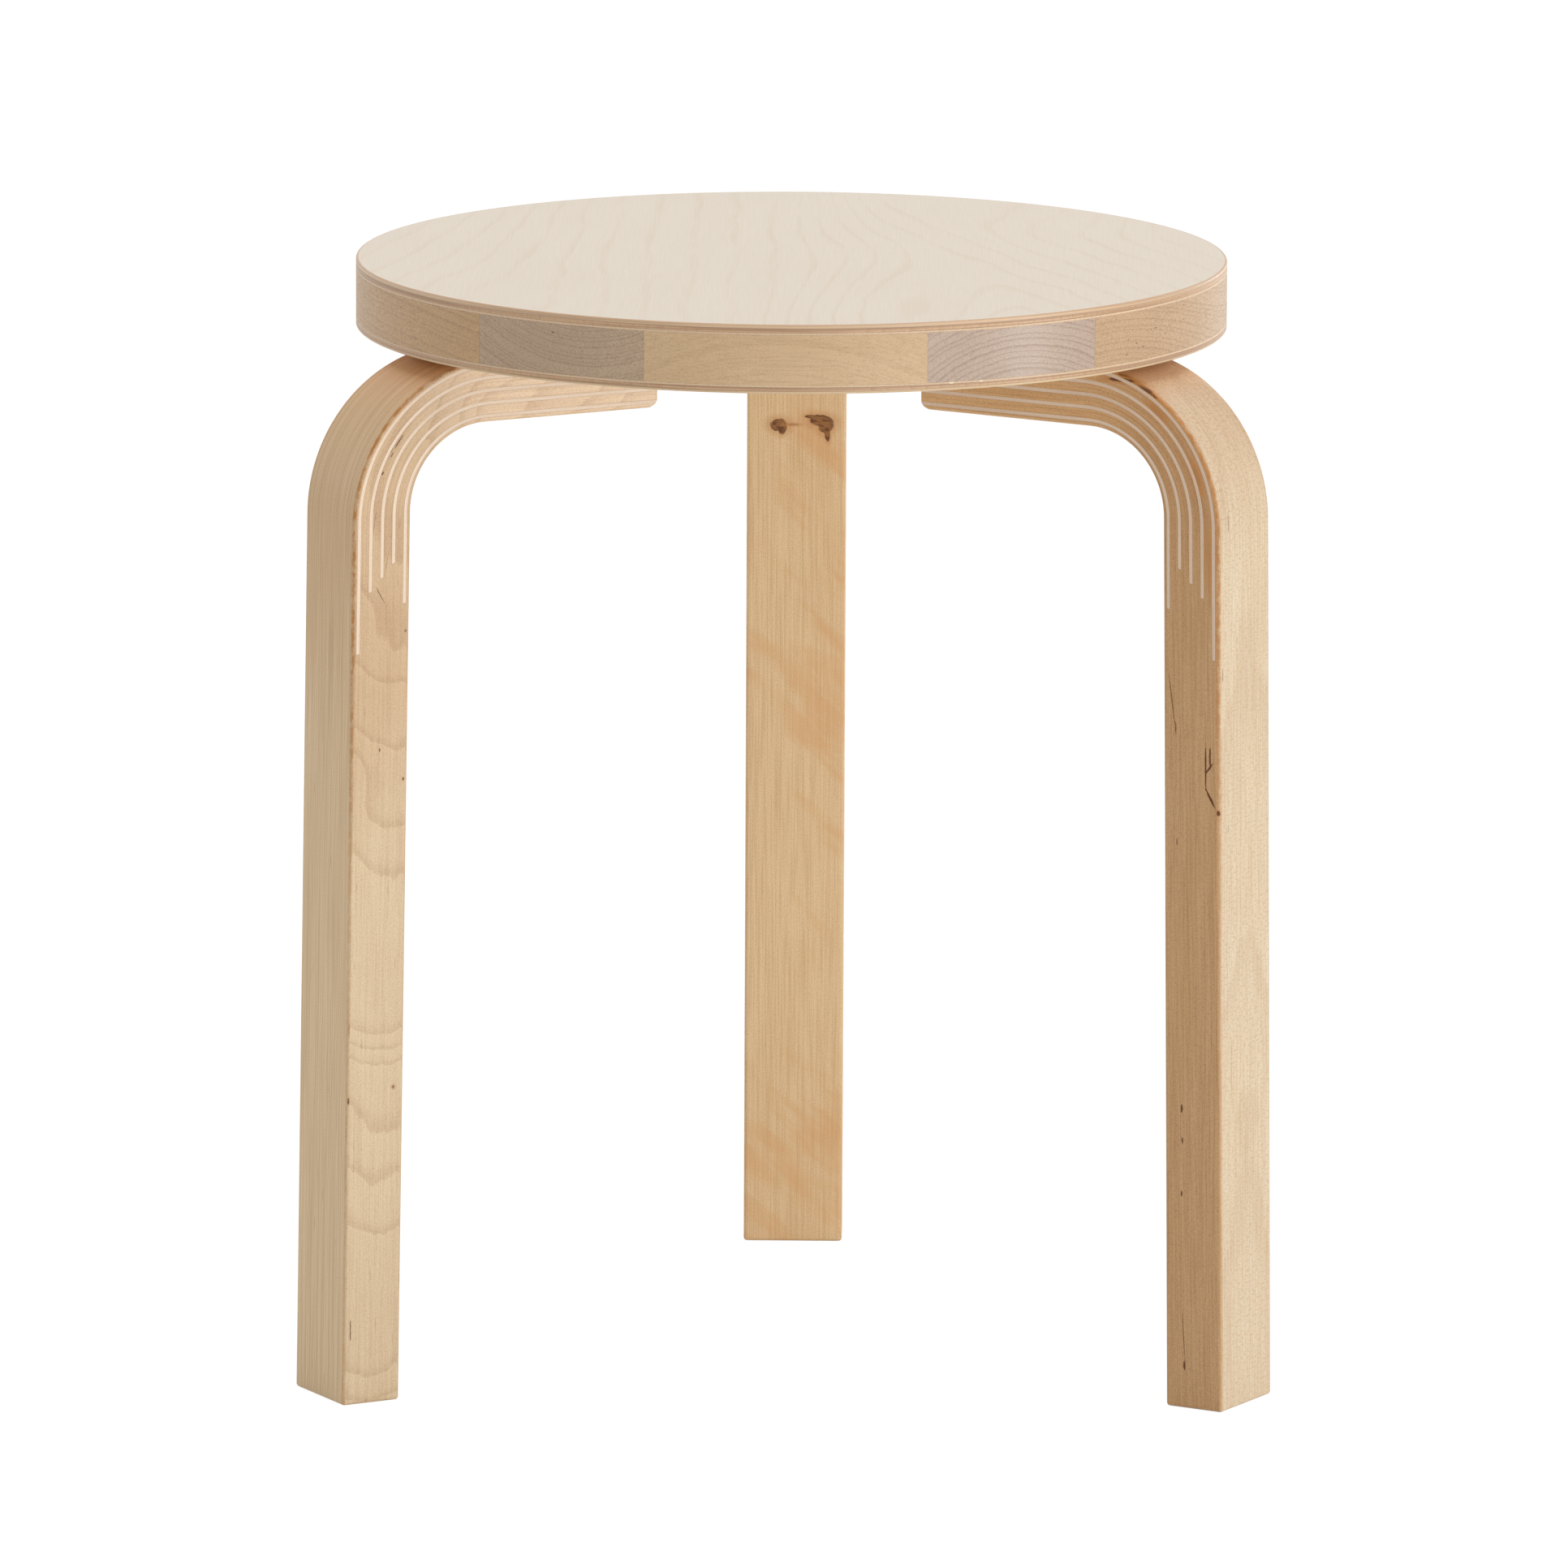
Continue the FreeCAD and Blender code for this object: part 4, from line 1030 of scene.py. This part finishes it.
RIGHT_MARKS = side_marks(
    -1, (6.25, 259.5, 0.42, 10.5, 0, 1, 0.15), (4.3, 262.5, 0.5, 4.6, 0, 0.95, 0),
    (4.6, 258.2, 0.5, 3.2, -35, 0.95, 0), (4, 246, 0.65, 4.8, 32, 1, 0), (0.7, 241.1, 0.7, 1.4, 0, 1, 0.2),
    (21.3, 282, 0.3, 13, 8, 0.7, 0), (19.6, 271.5, 0.4, 2.4, 0, 0.7, 0), (19.2, 226, 0.35, 1.8, 0, 0.7, 0),
    (17.5, 120, 0.5, 1.8, 0, 0.95, 0), (17.2, 107.4, 0.45, 1.4, 0, 0.9, 0),
    (17.7, 86, 0.45, 1.5, 0, 0.9, 0), (17, 29, 0.25, 12, 3, 0.7, 0), (16.6, 17, 0.6, 2.2, 0, 0.95, 0),
    (0.8, 407, 0.9, 9, 0, 0.9, 0.5), (2.6, 413, 0.9, 5.4, 20, 0.95, 0.85),
    (6.2, 371, 1.6, 4.4, 0, 0.1, 0.75), (5.6, 397, 1.6, 3.6, 0, 0.1, 0.75),
    (4.6, 342, 1.2, 9, 0, 0.05, 0.5)) + face_marks(
    (-12.6, 355, 0.25, 3.2, 0.8), (-17.6, 295.5, 0.25, 2.8, 0.8), (-13.4, 234, 0.25, 2, 0.6),
    (-11.4, 137, 0.15, 16, 0.4))
REAR_MARKS = [((1.6, INNER, 340.6), (3.0, 3, 0.5), (0, 0, 0), 0.3, 0.45)]
REAR_KNOTS = [inner_knot((7.1, 340.4, 3.6, 2.6, 0), (6.0, 338.6, 1.5, 2.2, 0)),
              inner_knot((-10.0, 342.2, 4.9, 2.5, 6), (-11.8, 339.8, 3.1, 2.6, 0),
                         (-12.6, 336.8, 1.2, 2.8, -6), (-5.6, 344.0, 2.2, 0.7, 0))]
LEFT_LEG_TONES = ((0.715, 0.546, 0.32), (0.665, 0.484, 0.264), (0.42, 0.25, 0.115))
RIGHT_LEG_TONES = ((0.668, 0.562, 0.408), (0.634, 0.508, 0.336), (0.41, 0.27, 0.14))
REAR_LEG_TONES = ((0.77, 0.57, 0.332), (0.715, 0.50, 0.27), (0.52, 0.285, 0.115))
LEG_FIGURES = {
    "front_left": dict(tones=LEFT_LEG_TONES, heart=(-0.20, 0.012, 0.0), lean=(0.055, 0.04, 0.0),
                       ring_width=0.0014, wander=0.010, waviness=0.0006, lines=0.18, season=0.12, cloud=0.5,
                       fibre=0.2, speckle=0.36, vessel_share=0.02,
                       extra=leg_extras(LEFT_MARKS, painted_side_tint=(1, (0.95, 0.97, 1.06)), pinstripe=0.5,
                                        painted_light_tints=LEFT_PAINTED_LIGHT_TINTS)),
    # The right leg's tint on its -X side is painted shade, partly also the wood's own browner tone.
    "front_right": dict(tones=RIGHT_LEG_TONES, heart=(0.0, 0.26, 0.0), lean=(0.01, 0.02, 0.0),
                        ring_width=0.0019, wander=0.006, waviness=0.0006, lines=0.12, season=0.06, cloud=0.7,
                        fibre=0.32, speckle=0.5, vessel_share=0.006,
                        extra=leg_extras(RIGHT_MARKS, painted_side_tint=(-1, (0.84, 0.63, 0.43)), ripple=0.5,
                                         pinstripe=0.2, painted_light_tints=RIGHT_PAINTED_LIGHT_TINTS)),
    "rear": dict(tones=REAR_LEG_TONES, heart=(-0.22, 0.03, 0.0), lean=(0.004, 0.0, 0.0), ring_width=0.0012,
                 wander=0.003, waviness=0.0003, lines=0.09, season=0.06, cloud=0.6, fibre=0.32, speckle=0.5,
                 vessel_share=0.0, extra=leg_extras(REAR_MARKS, REAR_KNOTS, curl=0.5, pinstripe=0.08)),
}
BLANK_SPACING = 1.7
for order, (side, turn) in enumerate(LEG_TURNS.items()):
    figure = LEG_FIGURES[side]
    further = BLANK_SPACING * order
    figure["heart"] = tuple(at - by * further for at, by in zip(figure["heart"], figure["lean"]))
    timber = birch(f"{side}_leg_birch", timber_place((0.0, 0.0, further)), vessels=0.5, **figure)
    leg = flat_blank(f"{side}_leg_skin", in_leg)
    bend_and_drill(leg, turn, timber)
    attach(leg, "root")
    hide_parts(f"{side}_leg")

# The veneer strips fill the kerfs. Each is a thin pale strip of birch, glued in and bent with the leg,
# and shows as a cream line on both of the leg's side faces.
STRIP_TONES = ((0.79, 0.645, 0.505), (0.74, 0.585, 0.44), (0.58, 0.41, 0.27))
# A darker copy of the strip timber for the right leg: painted shade, for the shaded side that its strips
# show on.
SHADED_STRIP_TONES = ((0.70, 0.54, 0.41), (0.65, 0.48, 0.35), (0.50, 0.34, 0.22))
STRIP_GLUE = (0.52, 0.34, 0.19)


def strip_glue(tree, place, colour):
    """The edge of the glue line that a strip shares with its kerf."""
    glue = put(tree, "ShaderNodeAttribute", attribute_name="glue").outputs["Fac"]
    return mixed(eased(glue, 0.90, 0.99, 0.0, 0.3), colour, STRIP_GLUE)


strip_figure = dict(heart=(0.4, 0.8, 0.0), lines=0.05, season=0.04, fibre=0.25, speckle=0.3, vessels=0.1,
                    extra=strip_glue)
pale_strips = birch("pale_strip_birch", timber_place((0.4, 0.3, 3.0)), STRIP_TONES, **strip_figure)
shaded_strips = birch("shaded_strip_birch", timber_place((0.4, 0.3, 3.0)), SHADED_STRIP_TONES, **strip_figure)
for side, turn in LEG_TURNS.items():
    strip_timber = shaded_strips if side == "front_right" else pale_strips
    for number in range(STRIP_COUNT):
        strip = flat_blank(f"{side}_leg_strip_{number + 1}", lambda i, j: in_kerf(i, j, number))
        bend_and_drill(strip, turn, strip_timber)
        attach(strip, "root")
        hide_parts(f"{side}_leg_veneer_{number + 1}")

# The screws are zinc-plated steel, with a cross recess and a coarse thread. They are driven up through the
# arm until their heads are flush with its underside.
ZINC_BRIGHT = (0.64, 0.635, 0.61)
ZINC_DULL = (0.50, 0.49, 0.46)
SCREW_SIZES = {"Head Diameter": 9.6 * MM, "Head Land": 0.2 * MM, "Core Diameter": 3.6 * MM,
               "Thread Depth": 0.65 * MM, "Thread Pitch": 2.4 * MM, "Length": 40 * MM,
               "Point Length": 5 * MM, "Recess Length": 5 * MM, "Recess Width": 1.1 * MM,
               "Recess Depth": 1.5 * MM}
THREAD_ROWS = 72
SCREW_SEGMENTS = 28

zinc = bpy.data.materials.new("zinc_plate")
zinc.use_nodes = True
zinc_tree = zinc.node_tree
zinc_shader = zinc_tree.nodes["Principled BSDF"]
zinc_shader.inputs["Metallic"].default_value = 1.0
zinc_place = piece_place(zinc_tree)
zinc_patches = eased(noise(zinc_place, (900.0, 900.0, 900.0), 4.0), 0.35, 0.65)
zinc_scuffs = noise(zinc_place, (5200.0, 1400.0, 900.0), 3.0)
feed(zinc_shader.inputs["Base Color"], mixed(zinc_patches, ZINC_BRIGHT, ZINC_DULL))
feed(zinc_shader.inputs["Roughness"], eased(zinc_scuffs, 0.3, 0.7, 0.26, 0.44))
zinc_bump = put(zinc_tree, "ShaderNodeBump", {"Height": zinc_scuffs, "Strength": 0.15, "Distance": 0.00005})
feed(zinc_shader.inputs["Normal"], zinc_bump.outputs[0])

screws, screws_in, screws_out = piece_tree("countersunk_screws", *SITE_INPUTS, *SCREW_SIZES,
                                           ("Seed", "Int"))
blank_screw = put(screws, "GeometryNodeGroup", node_tree=sunk)
for label in ("Head Diameter", "Head Land", "Thread Depth", "Thread Pitch", "Length", "Point Length"):
    feed(blank_screw.inputs[label], screws_in[label])
feed(blank_screw.inputs["Shank Diameter"], screws_in["Core Diameter"])
blank_screw.inputs["Thread Rows"].default_value = THREAD_ROWS
blank_screw.inputs["Segments"].default_value = SCREW_SEGMENTS
recessed = put(screws, "GeometryNodeMeshBoolean", {0: blank_screw.outputs[0]}, operation="DIFFERENCE",
               solver="EXACT")
recess_height = times(screws_in["Recess Depth"], 2.0)
for length, width in (("Recess Length", "Recess Width"), ("Recess Width", "Recess Length")):
    blade = put(screws, "GeometryNodeMeshCube",
                {"Size": vector_of(screws_in[length], screws_in[width], recess_height)})
    feed(recessed.inputs[1], blade.outputs["Mesh"])
driven_to = put(screws, "FunctionNodeRandomValue", {"Min": 0.0, "Max": QUARTER, "Seed": screws_in["Seed"]},
                data_type="FLOAT")
turned_to = vector_of(0.0, 0.0, open_socket(driven_to.outputs, "Value"))
driven = put(screws, "GeometryNodeInstanceOnPoints",
             {"Points": placed_sites(screws, screws_in), "Instance": recessed.outputs[0],
              "Rotation": turned_to})
real_screws = put(screws, "GeometryNodeRealizeInstances", {0: driven.outputs[0]})
ended(screws, real_screws.outputs[0], screws_in, screws_out)

for order, (side, turn) in enumerate(LEG_TURNS.items()):
    trio = stand(f"{side}_leg_screw_set", bpy.data.meshes.new(f"{side}_screws"))
    set_sizes(trio, screws, {**SITE_SIZES, **SCREW_SIZES, "Turn": math.radians(turn), "Level": ARM_UNDERSIDE,
                             "Seed": order, "Material": zinc})
    settle(trio)
    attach(trio, "root")
    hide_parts(f"{side}_leg_screws")

# A pale studio: a white floor that keeps a faint shadow, a white surround, and six soft lamps. The floor
# glows to the camera, so that it burns out to white as in the photo.
FLOOR_REACH = 30
floor_mesh = bpy.data.meshes.new("floor")
floor_corners = [(x * FLOOR_REACH, y * FLOOR_REACH, 0) for x, y in ((-1, -1), (1, -1), (1, 1), (-1, 1))]
floor_mesh.from_pydata(floor_corners, [], [(0, 1, 2, 3)])
floor = stand("floor", floor_mesh)
paper = bpy.data.materials.new("paper")
paper.use_nodes = True
paper_tree = paper.node_tree
paper_tree.nodes.clear()
paper_out = paper_tree.nodes.new("ShaderNodeOutputMaterial")
paper_diffuse = put(paper_tree, "ShaderNodeBsdfDiffuse", {"Color": (0.94, 0.94, 0.94)})
paper_glow = put(paper_tree, "ShaderNodeEmission", {"Color": (1.0, 1.0, 1.0), "Strength": 1.08})
paper_path = paper_tree.nodes.new("ShaderNodeLightPath").outputs
paper_seen = calc("MAXIMUM", paper_path["Is Camera Ray"], times(paper_path["Is Glossy Ray"], 0.7))
paper_mix = put(paper_tree, "ShaderNodeMixShader", {0: times(paper_seen, 0.87),
                                                    1: paper_diffuse.outputs[0], 2: paper_glow.outputs[0]})
feed(paper_out.inputs["Surface"], paper_mix.outputs[0])
floor_mesh.materials.append(paper)

world = bpy.data.worlds.new("surround")
bpy.context.scene.world = world
world.use_nodes = True
world_tree = world.node_tree
background = world_tree.nodes["Background"]
background.inputs["Color"].default_value = (1.0, 1.0, 1.0, 1.0)
world_path = world_tree.nodes.new("ShaderNodeLightPath").outputs
world_seen = calc("MAXIMUM", world_path["Is Camera Ray"], world_path["Is Glossy Ray"])
feed(background.inputs["Strength"], eased(world_seen, 0.0, 1.0, 0.45, 1.0))


def lamp(name, azimuth, elevation, distance, size, watts, aim=(0, 0, 0.25)):
    """A soft lamp of a width and a height, placed by its direction from the stool, that faces the stool."""
    turn, lift = math.radians(azimuth), math.radians(elevation)
    toward = Vector((math.cos(turn) * math.cos(lift), math.sin(turn) * math.cos(lift), math.sin(lift)))
    data = bpy.data.lights.new(name, "AREA")
    data.shape = "RECTANGLE"
    data.size, data.size_y = size
    data.energy = watts
    light = stand(name, data)
    light.location = Vector(aim) + toward * distance
    light.rotation_euler = toward.to_track_quat("Z", "Y").to_euler()


lamp("key_lamp", 322, 34, 3.6, (1.8, 1.8), 22)
lamp("strip_lamp", 333, 6.5, 2.2, (0.3, 0.95), 11)
lamp("front_lamp", 300, 1.5, 3.6, (1.6, 0.66), 21)
lamp("left_lamp", 170, 18, 3.6, (1.8, 1.8), 19)
lamp("right_back_lamp", 55, 5, 3.4, (1.2, 1.0), 10)
lamp("top_lamp", 60, 82, 3.4, (2.2, 2.2), 62)

bpy.context.scene.view_settings.view_transform = "Standard"
